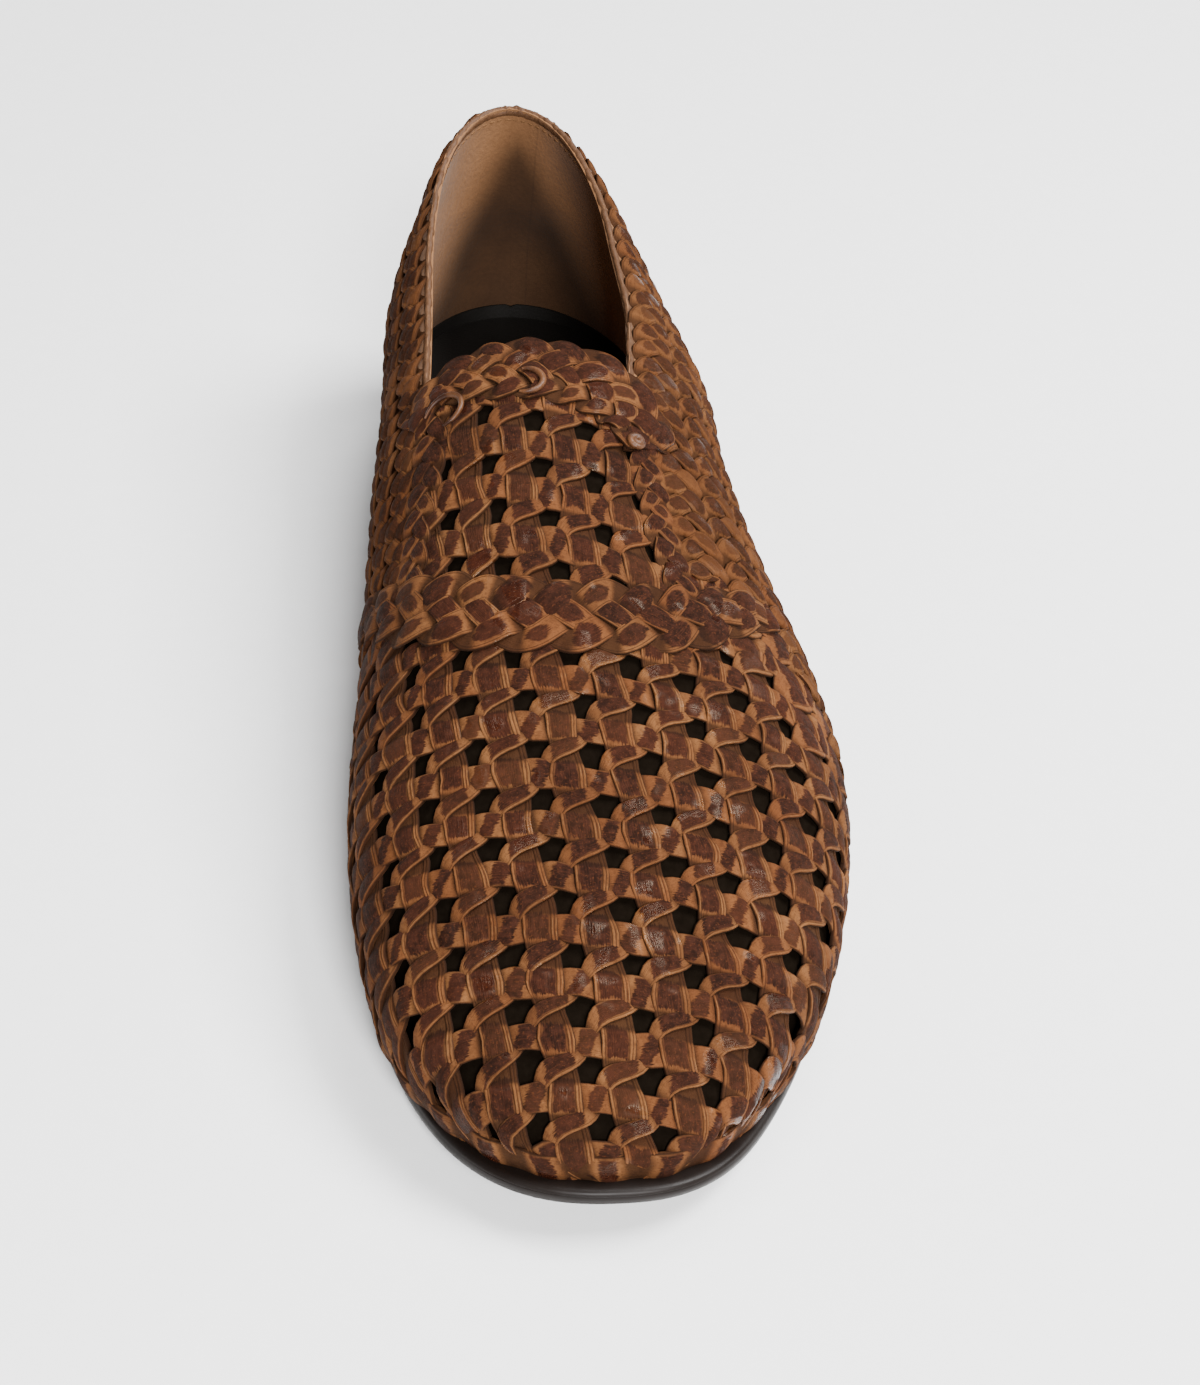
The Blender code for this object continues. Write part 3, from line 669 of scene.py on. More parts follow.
# ------------------------------------------------------------------ woven upper
# The vamp: leather strips about 6 mm wide in three directions.  Lengthwise ones pass over
# crosswise ones, slanting ones over lengthwise ones and crosswise ones over slanting ones, and
# all end in the sole's seam.  A crosswise strip follows the sole's edge round the toe.
PITCH_ACROSS = 0.01243       # between lengthwise strips
PITCH_ALONG = 0.01175        # between crosswise strips
ROW_SLANT = 0.00199          # each column's holes lie this much nearer the toe than the last
COLUMN_SLANT = 0.00098       # each row's holes lie this much further out than the last
FIRST_HOLE = (0.0011, 0.0905)
FIRST_COLUMN = 3
STRIP_THICK = 0.0010
WAVE = 0.00050               # strips rise and dip this much as they pass over and under
WEAVE_BACK = 0.110
WEAVE_FRONT = UPPER_TOE - 2e-5
TUCKED = 0.0016              # strips' ends reach this far under the sole's edge
FULL_AT = 0.262              # the weave bulges over the sole's edge most about here

RIDGE_ALONG = np.linspace(WEAVE_BACK, WEAVE_FRONT, 300)
RIDGE_RUN = last.run(RIDGE_ALONG, np.zeros(300))

# Edges of the plug, the panel on top of the foot: its two seams, and where it ends.
PLUG_SEAMS = np.array((
    # along   inner     outer
    (0.100, -0.0270, 0.0215),
    (0.115, -0.0285, 0.0225),
    (0.135, -0.0310, 0.0245),
    (0.160, -0.0345, 0.0262),
    (0.185, -0.0375, 0.0285),
))
PLUG_END = 0.1865

# The quarters' plaited rows, from the top line down, end where the vamp's weave begins.
ROWS = 6
ROWS_UNDER_RIM = 0.0014      # how far below the top line the first row starts
ROW_ENDS = {
    1: (0.174, 0.179, 0.190, 0.205, 0.216, 0.222),
    -1: (0.176, 0.170, 0.165, 0.163, 0.167, 0.174),
}


def sole_reach(along, reach):
    """Reach of the sole's edge, on the side of the foot where each place lies."""
    return np.where(reach >= 0, last.edge("half", along, 1), last.edge("half", along, -1))


def in_plug(along, reach, wider=0.0):
    """True within the plug; its front edge runs back at both corners."""
    inner = np.interp(along, PLUG_SEAMS[:, 0], PLUG_SEAMS[:, 1]) - wider
    outer = np.interp(along, PLUG_SEAMS[:, 0], PLUG_SEAMS[:, 2]) + wider
    end = PLUG_END - 0.05 * np.clip(np.abs(reach + 0.004) - 0.020, 0, None)
    return (along < end) & (reach > inner) & (reach < outer)


def row_edges(along, side):
    """Top and bottom of the quarter's rows, as distances across from the ridge."""
    rim = last.edge("topline", np.minimum(along, 0.103), side) + ROWS_UNDER_RIM
    seam = side * np.interp(along, PLUG_SEAMS[:, 0], PLUG_SEAMS[:, 2 if side > 0 else 1]) + 0.002
    top = rim + (seam - rim) * ease((along - 0.100) / 0.014)
    return top, last.edge("half", along, side) + 0.0006


def in_rows(along, reach):
    """True where the quarters' rows cover the weave."""
    inside = np.zeros(along.shape, bool)
    for side in (1, -1):
        top, low = row_edges(along, side)
        share = (side * reach - top) / (low - top)
        end = np.interp(share, (np.arange(ROWS) + 0.5) / ROWS, ROW_ENDS[side])
        inside |= (side * reach > 0) & (along < end - 0.005)
    return inside


def vamp_place(i, j):
    """Along and reach of a place in the vamp's weave: holes are at whole numbers."""
    run = FIRST_HOLE[1] + PITCH_ALONG * j + ROW_SLANT * (i - FIRST_COLUMN)
    reach = FIRST_HOLE[0] + COLUMN_SLANT * j + PITCH_ACROSS * (i - FIRST_COLUMN)
    past = run - np.clip(run, 0, RIDGE_RUN[-1])
    return np.interp(run, RIDGE_RUN, RIDGE_ALONG) + past, reach


def fullness(along, reach):
    """How far the weave bulges over the sole's edge at the corners of the toe."""
    low = ease((np.abs(reach) / sole_reach(along, reach) - 0.45) / 0.45)
    return np.where(reach >= 0, 0.0020, 0.0028) * low * np.exp(-((along - FULL_AT) / 0.020) ** 2)


def vamp_skin(along, reach, lift):
    """Points of the vamp's weave, with the strips' ends tucked in at the sole's edge."""
    along = np.clip(along, WEAVE_BACK, WEAVE_FRONT)
    tucked = sole_reach(along, reach) + TUCKED
    reach = np.clip(reach, -tucked, tucked)
    return last.skin(along, reach, lift + fullness(along, reach))


def in_vamp(along, reach):
    """True where the vamp's strips exist: before the plug and the quarters' rows."""
    on_shoe = (along > WEAVE_BACK) & (along < WEAVE_FRONT + 0.0004)
    on_shoe &= np.abs(reach) < sole_reach(along, reach) + 0.0035
    return on_shoe & ~in_plug(along, reach) & ~in_rows(along, reach)


class Strips:
    """Gathers strips of one direction into a single mesh."""

    def __init__(self):
        """Start with no strips."""
        self.points = []
        self.faces = []
        self.values = {"cross": [], "side": [], "rise": [], "strip": []}
        self.total = 0

    def lay(self, rings, cross, side, rise, strip):
        """Add one strip: rings of points (rings, around, 3), capped at both ends."""
        count, around = rings.shape[:2]
        faces = ring_faces(count, around) + self.total
        first = range(self.total, self.total + around)
        end = range(self.total + (count - 1) * around, self.total + count * around)
        self.faces += faces.tolist() + [tuple(first)[::-1], tuple(end)]
        self.points.append(rings.reshape(-1, 3))
        self.values["cross"].append(cross.ravel())
        self.values["side"].append(side.ravel())
        self.values["strip"].append(np.full(count * around, float(strip)))
        self.values["rise"].append(np.repeat(rise, around))
        self.total += count * around

    def add(self, name, finish):
        """Make the object."""
        values = {key: np.concatenate(parts) for key, parts in self.values.items()}
        return add_piece(name, np.vstack(self.points), self.faces, finish, values)


# Cross sections of the strips: place across (-1 to 1) and height, from the left edge over
# the top and back beneath.
FLAT = np.array((
    (-1.00, -0.55), (-0.97, -0.22), (-0.86, -0.05), (-0.55, 0.04), (0.00, 0.08), (0.55, 0.04),
    (0.86, -0.05), (0.97, -0.22), (1.00, -0.55), (0.92, -1.00), (0.00, -1.00), (-0.92, -1.00),
))
PLEATED = np.array((
    (-1.00, -0.55), (-0.97, -0.14), (-0.90, 0.08), (-0.82, 0.08), (-0.76, -0.10), (-0.64, 0.00),
    (-0.30, 0.04), (0.15, 0.04), (0.50, -0.02), (0.60, -0.12), (0.66, 0.12), (0.73, 0.12),
    (0.79, -0.10), (0.86, 0.08), (0.93, 0.06), (0.98, -0.22), (1.00, -0.55), (0.92, -1.00),
    (0.00, -1.00), (-0.92, -1.00),
))
FOLDED = np.array((
    (-1.00, -0.60), (-0.96, -0.30), (-0.82, -0.08), (-0.45, 0.08), (0.00, 0.12), (0.42, 0.06),
    (0.66, -0.02), (0.78, 0.08), (0.90, 0.06), (0.98, -0.20), (1.00, -0.60), (0.90, -1.00),
    (0.00, -1.00), (-0.90, -1.00),
))
LONGER_ON_TOP = {"long": 0.0, "cross": -0.30, "slant": 0.35}
WANDER = 0.034               # how far a strip strays sideways, in steps of the lattice
SHIVER = 0.018
FATNESS = (0.83, 1.17)       # how a strip's width varies along it
RING_STEP = 0.1
UNEVEN = 0.00012             # how far a strip's height varies along it
SUNK = 0.0003                # strips' tops lie this far inside the last's skin on average


def cross_phase(kind, i, j):
    """Whole numbers where the strip is on top."""
    return {"long": j - 0.5, "cross": i, "slant": i - 0.5}[kind]


def dark_phase(kind, line, i, j):
    """Half numbers where the strip bulges over another and is burnished."""
    return {"long": j + 0.04, "cross": i + 0.5 * (j - line) + 0.5, "slant": i}[kind]


def wave(phase, bias=0.0):
    """Rise of a strip: 1 where it passes over, at phase 0, and -1 where it passes under."""
    return np.tanh(1.5 * (np.cos(2 * np.pi * phase) + bias)) / np.tanh(1.5 * (1 + abs(bias)))


def stretches(stay):
    """Starts and ends of the runs of True that are at least three rings long."""
    change = np.flatnonzero(np.diff(np.concatenate(([0], stay.astype(int), [0]))))
    return [(a, b) for a, b in zip(change[::2], change[1::2]) if b - a >= 3]


# How the strips of each direction run: cross section; which way across is in the weave; the
# place of a strip's middle at t; how far the middle bends away from its line.
DIRECTIONS = {
    "long": (PLEATED, (1.0, 0.0), lambda line, t: (np.full(len(t), line), t), lambda t: 0 * t),
    "cross": (FLAT, (0.0, 1.0), lambda line, t: (t, np.full(len(t), line)), lambda t: 0 * t),
    "slant": (FOLDED, (0.5, 0.5), lambda line, t: (t, line - t),
              lambda t: -0.10 * np.sin(2 * np.pi * t) - 0.04 * (1 - np.cos(2 * np.pi * t))),
}


def weave_strips(kind, area, lines, span, seed, width):
    """All the strips of one direction in an area of the shoe.

    area: the area's functions for a lattice place, for its skin and for where it ends;
    lines: which strips; span: their ends, in steps of the lattice; width(i, j): half width
    on both sides of the middle.
    """
    section, across, middle, bend = DIRECTIONS[kind]
    place, skin, inside = area
    chance = np.random.default_rng(seed)
    made = Strips()
    t = np.arange(span[0], span[1] + 0.001, RING_STEP)
    knots = np.arange(span[0] - 2, span[1] + 3, 0.5)
    for line in lines:
        i, j = middle(line, t)
        wobble = WANDER * np.sin(2.3 * t + chance.uniform(0, 6))
        wobble = wobble + SHIVER * np.sin(6.1 * t + chance.uniform(0, 6))
        fat = np.interp(t, knots, chance.uniform(*FATNESS, len(knots)))
        low, high = width(i, j)
        half = np.where(section[None, :, 0] < 0, (low * fat)[:, None], (high * fat)[:, None])
        off = (bend(t) + wobble)[:, None] + section[None, :, 0] * half
        up = wave(cross_phase(kind, i, j), LONGER_ON_TOP[kind])
        lift = WAVE * up + UNEVEN * np.sin(5.1 * t + line) - SUNK
        lift = lift[:, None] + STRIP_THICK * section[None, :, 1]
        i_off = i[:, None] + across[0] * off
        j_off = j[:, None] + across[1] * off
        rings = skin(*place(i_off, j_off), lift)
        cross = dark_phase(kind, line, i_off, j_off)
        side = np.broadcast_to(section[:, 0], off.shape)
        number = chance.uniform(0, 100)
        for start, end in stretches(inside(*place(i, j))):
            made.lay(rings[start:end], cross[start:end], side[start:end], up[start:end], number)
    return made


TAN_DEEP = (0.071, 0.0256, 0.0088)
TAN_PALE = (0.130, 0.0530, 0.0190)
TAN_RED = (0.088, 0.0256, 0.0082)
TAN_STAIN = (0.032, 0.0098, 0.0037)
BURNT_DEEP = (0.0070, 0.0020, 0.0013)
BURNT_PALE = (0.021, 0.0062, 0.0035)
BURNT_RED = (0.040, 0.0098, 0.0044)
# Colour of painted shade, laid under crossings, along edges and in grooves.
PAINTED_SHADE = (0.009, 0.0030, 0.0015)
# Colour of painted highlights on the ridges.
PAINTED_HIGHLIGHT = (0.210, 0.1050, 0.0420)
DUST = (0.050, 0.0240, 0.0120)
STRIP_LOOKS = {
    # kind: burnished block (half length, left and right edge), lines of painted shade in the
    # grooves, lines of painted highlight on the ridges
    "long": ((0.265, -0.72, 0.56), (-0.76, 0.60, 0.79), (-0.87, 0.69, 0.89)),
    "cross": ((0.135, -0.90, 0.90), (), ()),
    "slant": ((0.240, -0.92, 0.60), (0.66,), (0.82,)),
    "plait": (None, (-0.80, 0.80), ()),
}


class StripLeather(Finish):
    """Caramel leather, burnished dark where the strip bulges over another.

    Points carry cross (half numbers on the bulges), side (-1 to 1 across the strip), rise
    (1 on top, -1 beneath) and strip (a random number for each strip).
    """

    def __init__(self, name, kind, dusty=0.0):
        """kind: a row of STRIP_LOOKS; dusty: how far dust hides colour and polish."""
        super().__init__(name, 0.42, Specular_IOR_Level=0.04 if dusty else 0.13,
                         Specular_Tint=(1.0, 0.82, 0.62, 1.0))
        self.dusty = dusty
        self.block, self.dark_lines, self.highlighted_ridges = STRIP_LOOKS[kind]
        keys = ("cross", "side", "strip", "rise")
        self.cross, self.side, self.strip, self.rise = (self.value(key) for key in keys)
        self.cell = self.math("FLOOR", self.cross)
        number = self.math("FLOOR", self.strip)
        self.luck = self.chance(self.together(self.cell, number, 3.0))
        self.other = self.chance(self.together(self.cell, number, 8.0))
        self.speck = self.noise(2200.0, 2.0)
        self.fine = self.noise(700.0, 4.0)
        self.ragged = self.noise(330.0, 5.0)
        self.cloud = self.noise(55.0, 4.0)
        grain = self.together(self.times(self.cross, 1.6), self.times(self.side, 5.0), self.strip)
        self.streak = self.noise(2.4, 5.0, where=grain)
        self.colour(self.shade_highlight_and_dust(self.blend(self.patch(), self.tan(), self.burnt())))
        self.polish()
        self.relief()

    def sway(self, about, noise, much):
        """A number moved up and down by a noise."""
        return self.math("MULTIPLY_ADD", self.math("SUBTRACT", noise, 0.5), much, about)

    def patch(self):
        """Share of the burnished patch: a ragged block on a strip, an oval on a plait."""
        edge = self.apart(self.math("SUBTRACT", self.cross, self.cell), 0.5)
        for noise, much in ((self.ragged, 0.24), (self.streak, 0.16), (self.luck, 0.07)):
            edge = self.sway(edge, noise, much)
        tear = self.sway(self.side, self.ragged, 0.40)
        if self.block:
            length, left, right = self.block
            dark = self.fade(edge, length - 0.020, length + 0.025, 1.0, 0.0)
            dark = self.times(dark, self.fade(tear, left - 0.10, left + 0.10))
            dark = self.times(dark, self.fade(tear, right - 0.10, right + 0.10, 1.0, 0.0))
        else:
            across = self.times(self.apart(tear, 0.0), 0.34)
            oval = self.math("MULTIPLY_ADD", across, across, self.times(edge, edge))
            size = self.fade(self.other, 0.0, 1.0, 0.19, 0.27 if self.dusty else 0.33)
            oval = self.math("SUBTRACT", self.math("SQRT", oval), size)
            dark = self.fade(oval, -0.02, 0.03, 1.0, 0.0)
        faint = 0.20 if self.dusty else 0.88
        dark = self.times(dark, self.fade(self.other, 0.0, 0.45, faint, 1.0))
        return self.times(dark, self.fade(self.streak, 0.58, 0.80, 1.0, 0.85))

    def tan(self):
        """Tan leather with clouds and stains."""
        tan = self.blend(self.fade(self.cloud, 0.3, 0.7), TAN_DEEP, TAN_PALE)
        tan = self.layer(tan, TAN_RED, self.luck, 0.3, 1.0, 0.45)
        tan = self.layer(tan, TAN_STAIN, self.ragged, 0.50, 0.72, 0.40)
        tan = self.layer(tan, TAN_STAIN, self.streak, 0.52, 0.72, 0.28)
        tan = self.layer(tan, TAN_STAIN, self.fine, 0.50, 0.75, 0.45)
        return self.layer(tan, TAN_STAIN, self.speck, 0.52, 0.70, 0.40)

    def burnt(self):
        """The brown of the burnished patches, redder in streaks."""
        burnt = self.blend(self.fade(self.fine, 0.35, 0.70), BURNT_DEEP, BURNT_PALE)
        burnt = self.layer(burnt, BURNT_RED, self.streak, 0.45, 0.75, 0.35)
        burnt = self.layer(burnt, TAN_RED, self.speck, 0.55, 0.72, 0.35)
        return self.layer(burnt, BURNT_RED, self.cloud, 0.40, 0.65, 0.30)

    def shade_highlight_and_dust(self, colour):
        """Painted shade where the strip dives under its neighbours, along its edges and in its
        grooves, painted highlights on its ridges, and dust.
        """
        # Painted shade where the strip dives under its neighbours.
        shade_under = self.math("MULTIPLY_ADD", self.ragged, 0.5, self.rise)
        colour = self.layer(colour, PAINTED_SHADE, shade_under, 0.70, -0.30, 0.80)
        # Painted shade along both edges of the strip.
        rim = 0.84 if self.dusty else 0.88
        colour = self.layer(colour, PAINTED_SHADE, self.apart(self.side, 0.0), rim, 0.99, 0.90)
        # Painted shade in the grooves of pleats and lips.
        for line in self.dark_lines:
            share = self.fade(self.apart(self.side, line), 0.010, 0.050, 0.65, 0.0)
            colour = self.blend(share, colour, PAINTED_SHADE)
        # Painted highlights on the ridges of pleats and folds, only where the strip is on top.
        for line in self.highlighted_ridges:
            share = self.fade(self.apart(self.side, line), 0.008, 0.040, 0.32, 0.0)
            share = self.times(share, self.fade(self.rise, 0.2, 0.9))
            share = self.times(share, self.fade(self.ragged, 0.42, 0.62))
            colour = self.blend(share, colour, PAINTED_HIGHLIGHT)
        if self.dusty:
            share = self.fade(self.cloud, 0.3, 0.7, 0.6 * self.dusty, self.dusty)
            colour = self.blend(share, colour, DUST)
        return colour

    def polish(self):
        """Polish worn on in spots on top of the bulges, less on the shoe's flanks."""
        spots = self.fade(self.noise(110.0, 2.0), 0.55, 0.61)
        gloss = self.times(spots, self.fade(self.rise, 0.2, 0.9))
        outward = self.apart(self.split(self.place())[0], 0.0)
        gloss = self.times(gloss, self.fade(outward, 0.024, 0.042, 1.0, 0.15))
        self.rough(self.fade(gloss, 0.0, 1.0, 0.92, 0.15 + 0.60 * self.dusty))

    def relief(self):
        """Grain, streaks and dents."""
        self.bump(self.fine, 0.00010)
        self.bump(self.streak, 0.00022)
        self.bump(self.ragged, 0.00016)
        self.bump(self.noise(160.0, 2.0), 0.00110)


def closed_share(i, j):
    """0 in the open weave of the vamp, 1 in the closed weave behind it."""
    return ease((-0.3 - j) / 2.0 + np.clip((i - 6.2) / 2.0, 0, 1) * ease((3 - j) / 2))


def long_width(i, j):
    """Lengthwise strips swell on top and are a little wider on the inner side."""
    half = 0.303 + 0.010 * np.tanh(-i / 3) + 0.150 * closed_share(i, j)
    half = half * (0.975 + 0.025 * wave(cross_phase("long", i, j)))
    return half, half


def cross_width(i, j):
    """Crosswise strips swell on top."""
    half = (0.275 + 0.175 * closed_share(i, j)) * (0.965 + 0.035 * wave(cross_phase("cross", i, j)))
    return half, half


def slant_width(i, j):
    """Slanting strips swell to a leaf where they pass over, more towards their inner edge."""
    over = 0.5 + 0.5 * np.cos(2 * np.pi * cross_phase("slant", i, j))
    wide = 1 + 1.05 * closed_share(i, j)
    return wide * (0.142 + 0.121 * over), wide * (0.140 + 0.076 * over)


long_leather = StripLeather("lengthwise_strip_leather", "long")
cross_leather = StripLeather("crosswise_strip_leather", "cross")
slant_leather = StripLeather("slanting_strip_leather", "slant")
vamp = (vamp_place, vamp_skin, in_vamp)
for name, kind, lines, span, seed, width, leather in (
        ("upper_lengthwise_strips", "long", (-5.5, 12), (-6.5, 10), 11, long_width, long_leather),
        ("upper_crosswise_strips", "cross", (-6.5, 10), (-6, 12), 12, cross_width, cross_leather),
        ("upper_slanting_strips", "slant", (-12.5, 22), (-6, 12), 13, slant_width, slant_leather)):
    strips = weave_strips(kind, vamp, np.arange(*lines), span, seed, width)
    piece = strips.add(name, leather)
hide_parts("upper")

TOE_STRIP_FROM = 0.222
TOE_STRIP_LOW = -0.0012      # heights of its edges above the upper's seat
TOE_STRIP_HIGH = 0.0062
TOE_STRIP_PITCH = 0.0124
TOE_STRIP_LINES = 9


def level_line(side, level):
    """Places at one height above the sole, from where the toe strip starts to the tip."""
    bottom = last.points[side][:, 0, 2]
    crown = last.points[side][:, -1, 2] - bottom
    front = last.along > 0.26
    end = np.interp(-max(level, 0.0003), -crown[front], last.along[front])
    along = TOE_STRIP_FROM + (end - TOE_STRIP_FROM) * np.sin(np.linspace(0, np.pi / 2, 90))
    reach = []
    for place in along:
        at = np.interp(place, last.along, np.arange(STATIONS))
        row = int(min(at, STATIONS - 2))
        mix = at - row
        z = last.points[side][row, :, 2] * (1 - mix) + last.points[side][row + 1, :, 2] * mix
        half = last.half[side][row] * (1 - mix) + last.half[side][row + 1] * mix
        share = np.interp(max(level, 0.0), z - z[0], np.linspace(0, 1, ACROSS))
        reach.append(side * (half * (1 - share) + max(-level, 0.0)))
    return np.stack((along, reach))


def toe_edge_strip():
    """The crosswise strip that follows the sole's edge round the toe."""
    lines = [np.hstack((level_line(-1, level), level_line(1, level)[:, ::-1]))
             for level in np.linspace(TOE_STRIP_LOW, TOE_STRIP_HIGH, TOE_STRIP_LINES)]
    along, reach = np.array(lines).transpose(1, 0, 2)
    run = last.run(along[5], reach[5])
    up = np.cos(2 * np.pi * run / TOE_STRIP_PITCH + 1.0)
    crown = np.array((-0.4, -0.1, 0.0, 0.08, 0.12, 0.12, 0.06, -0.06, -0.4)) * STRIP_THICK
    full = fullness(along, reach)
    top = last.skin(along, reach, full + 0.00035 + crown[:, None] + 0.00040 * up[None, :])
    under = last.skin(along[::4], reach[::4], full[::4] - 0.0007)
    rings = np.vstack((top, under[::-1])).transpose(1, 0, 2)
    side = np.concatenate((np.linspace(-1, 1, TOE_STRIP_LINES), (0.9, 0.0, -0.9)))
    side = np.broadcast_to(side, (len(run), len(side)))
    cross = np.repeat((run / TOE_STRIP_PITCH + 0.659)[:, None], side.shape[1], axis=1)
    made = Strips()
    made.lay(rings, cross, side, up, 4.2)
    return made


toe_edge_strip().add("upper_toe_edge_strip", cross_leather)


# ------------------------------------------------------------------ plug
# The panel on top of the foot, woven from the same strips, with more slant and longer steps
# along the foot than the vamp.  Its ends are tucked under the plaits around it.
PLUG_FIRST_HOLE = (0.1252, -0.0260)
PLUG_COLUMN_STEP = (0.0037, 0.0120)
PLUG_ROW_STEP = (0.0150, 0.0010)


def plug_place(i, j):
    """Along and reach of a place in the plug's weave: holes are at whole numbers."""
    return tuple(first + across * i + down * j for first, across, down
                 in zip(PLUG_FIRST_HOLE, PLUG_COLUMN_STEP, PLUG_ROW_STEP))


def plug_skin(along, reach, lift):
    """Points of the plug's weave."""
    return last.skin(along, reach, lift)


def under_plaits(along, reach):
    """True in the plug and a little under the plaits around it."""
    return in_plug(along, reach, 0.0020) & (along > 0.1145 + 0.10 * np.clip(reach, 0, None))


def even_width(i, _):
    """Strips of one width."""
    half = np.full(len(i), 0.305)
    return half, half


plug = (plug_place, plug_skin, under_plaits)
for name, kind, lines, span, seed, width, leather in (
        ("plug_lengthwise_strips", "long", (-1.5, 6), (-3, 6), 21, even_width, long_leather),
        ("plug_crosswise_strips", "cross", (-2.5, 6), (-2, 6), 22, even_width, cross_leather),
        ("plug_slanting_strips", "slant", (-4.5, 11), (-2, 6), 23, slant_width, slant_leather)):
    strips = weave_strips(kind, plug, np.arange(*lines), span, seed, width)
    strips.add(name, leather)


# ------------------------------------------------------------------ plaits
# Flat plaits of leather strips: a wide one across the foot between plug and vamp, a wide
# one round the plug's top edge, and narrow ones down its two sides.
PLAIT_STRAY = 0.00040        # how far strands stray sideways
PLAIT_FATNESS = (0.80, 1.14)
PLAIT_UNEVEN = 0.00014

# Cross section of a strand whose edges turn up into small lips.
LIPPED = np.array((
    (-1.00, -0.60), (-0.98, -0.26), (-0.90, -0.02), (-0.80, -0.08), (-0.45, 0.18), (0.00, 0.28),
    (0.45, 0.18), (0.80, -0.08), (0.90, -0.02), (0.98, -0.26), (1.00, -0.60), (0.90, -1.00),
    (0.00, -1.00), (-0.90, -1.00),
))


def drawn_line(table):
    """A line through a table of reach, along and width, for a plait to follow."""
    table = np.array(table)
    knots = np.linspace(0, 1, len(table))
    fine = np.linspace(0, 1, 400)
    reach, along, width = (through(knots, table[:, k], fine) for k in range(3))
    run = last.run(along, reach)
    slope_reach = np.gradient(reach, run)
    slope_along = np.gradient(along, run)

    def spot(s, t, lift):
        """Point at a distance along the line, t beside it."""
        at = np.clip(s, 0, run[-1])
        dr = np.interp(at, run, slope_reach)
        da = np.interp(at, run, slope_along)
        size = np.hypot(dr, da)
        return last.skin(np.interp(at, run, along) + dr / size * t,
                         np.interp(at, run, reach) - da / size * t, lift)

    return spot, run[-1], lambda s: np.interp(s, run, width)


def plait(made, chance, line, section, strands, pitch, strand_width, rise, step, height):
    """Lay strips plaited flat along a line.

    pitch: from one strand to the next along the line; rise: lift of the plait's middle;
    height: how far the strands rise and dip; step: length between rings.
    """
    spot, length, width = line
    period = strands * pitch
    q = section[None, :, 0]
    up_down = STRIP_THICK * section[None, :, 1]
    marks = np.arange(-0.01, length + 0.01, 0.007)
    for k in range(strands):
        s = np.arange(0, length, step)
        theta = 2 * np.pi * (s - k * pitch) / period
        swing = width(s) / 2 - 0.42 * strand_width
        t = swing * (np.sin(theta) - 0.08 * np.sin(3 * theta)) / 1.08
        t = t + np.interp(s, marks, chance.normal(0, PLAIT_STRAY, len(marks)))
        way = np.stack((np.gradient(s), np.gradient(t)))
        way = way / np.linalg.norm(way, axis=0)
        phase = (strands - 1) * theta / (2 * np.pi) + (0.0 if strands % 2 else 0.25)
        up = np.tanh(1.3 * np.sin(2 * np.pi * phase)) / np.tanh(1.3)
        half = strand_width / 2 * np.interp(s, marks, chance.uniform(*PLAIT_FATNESS, len(marks)))
        off = q * half[:, None]
        lift = rise + np.interp(s, marks, chance.normal(0, PLAIT_UNEVEN, len(marks)))
        lift = (lift + height * up)[:, None] + up_down
        ahead = s[:, None] - way[1][:, None] * off
        beside = t[:, None] + way[0][:, None] * off
        there = spot(ahead, beside, lift)
        cross = np.repeat((phase + 0.30)[:, None], q.shape[1], axis=1)
        made.lay(there, cross, np.broadcast_to(q, off.shape), up, chance.uniform(0, 100))


plait_leather = StripLeather("plaited_strip_leather", "plait")
APRON_PLAIT = (
    # reach, along, width
    (-0.0600, 0.1585, 0.0090),
    (-0.0480, 0.1655, 0.0120),
    (-0.0370, 0.1735, 0.0150),
    (-0.0250, 0.1812, 0.0170),
    (-0.0100, 0.1875, 0.0168),
    (0.0040, 0.1888, 0.0170),
    (0.0200, 0.1882, 0.0160),
    (0.0320, 0.1845, 0.0140),
    (0.0460, 0.1780, 0.0100),
    (0.0530, 0.1755, 0.0080),
)
THROAT_PLAIT = (
    (-0.0345, 0.1215, 0.0100),
    (-0.0265, 0.1150, 0.0125),
    (-0.0140, 0.1150, 0.0180),
    (0.0000, 0.1168, 0.0215),
    (0.0120, 0.1205, 0.0225),
    (0.0215, 0.1285, 0.0190),
    (0.0240, 0.1390, 0.0120),
)
OUTER_SEAM_PLAIT = (
    (0.0235, 0.1380, 0.0080),
    (0.0245, 0.1500, 0.0085),
    (0.0262, 0.1660, 0.0085),
    (0.0280, 0.1810, 0.0085),
)
INNER_SEAM_PLAIT = (
    (-0.0275, 0.1210, 0.0100),
    (-0.0300, 0.1380, 0.0100),
    (-0.0335, 0.1560, 0.0090),
    (-0.0368, 0.1740, 0.0085),
)
PLAITS = (
    # name, line, strands, pitch, strand's width, lifted off the last, seed
    ("apron_plait", APRON_PLAIT, 4, 0.0096, 0.0064, 0.0009, 31),
    ("throat_plait", THROAT_PLAIT, 5, 0.0084, 0.0062, 0.0009, 32),
    ("outer_seam_plait", OUTER_SEAM_PLAIT, 3, 0.0070, 0.0046, 0.0004, 33),
    ("inner_seam_plait", INNER_SEAM_PLAIT, 3, 0.0070, 0.0046, 0.0004, 34),
)
for name, table, strands, pitch, strand_width, rise, seed in PLAITS:
    made = Strips()
    chance = np.random.default_rng(seed)
    plait(made, chance, drawn_line(table), LIPPED, strands, pitch, strand_width, rise,
          step=0.00055, height=0.0006)
    piece = made.add(name, plait_leather)
    if name == "apron_plait":
        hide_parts("apron_braid")
    if name == "throat_plait":
        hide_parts("throat_braid")


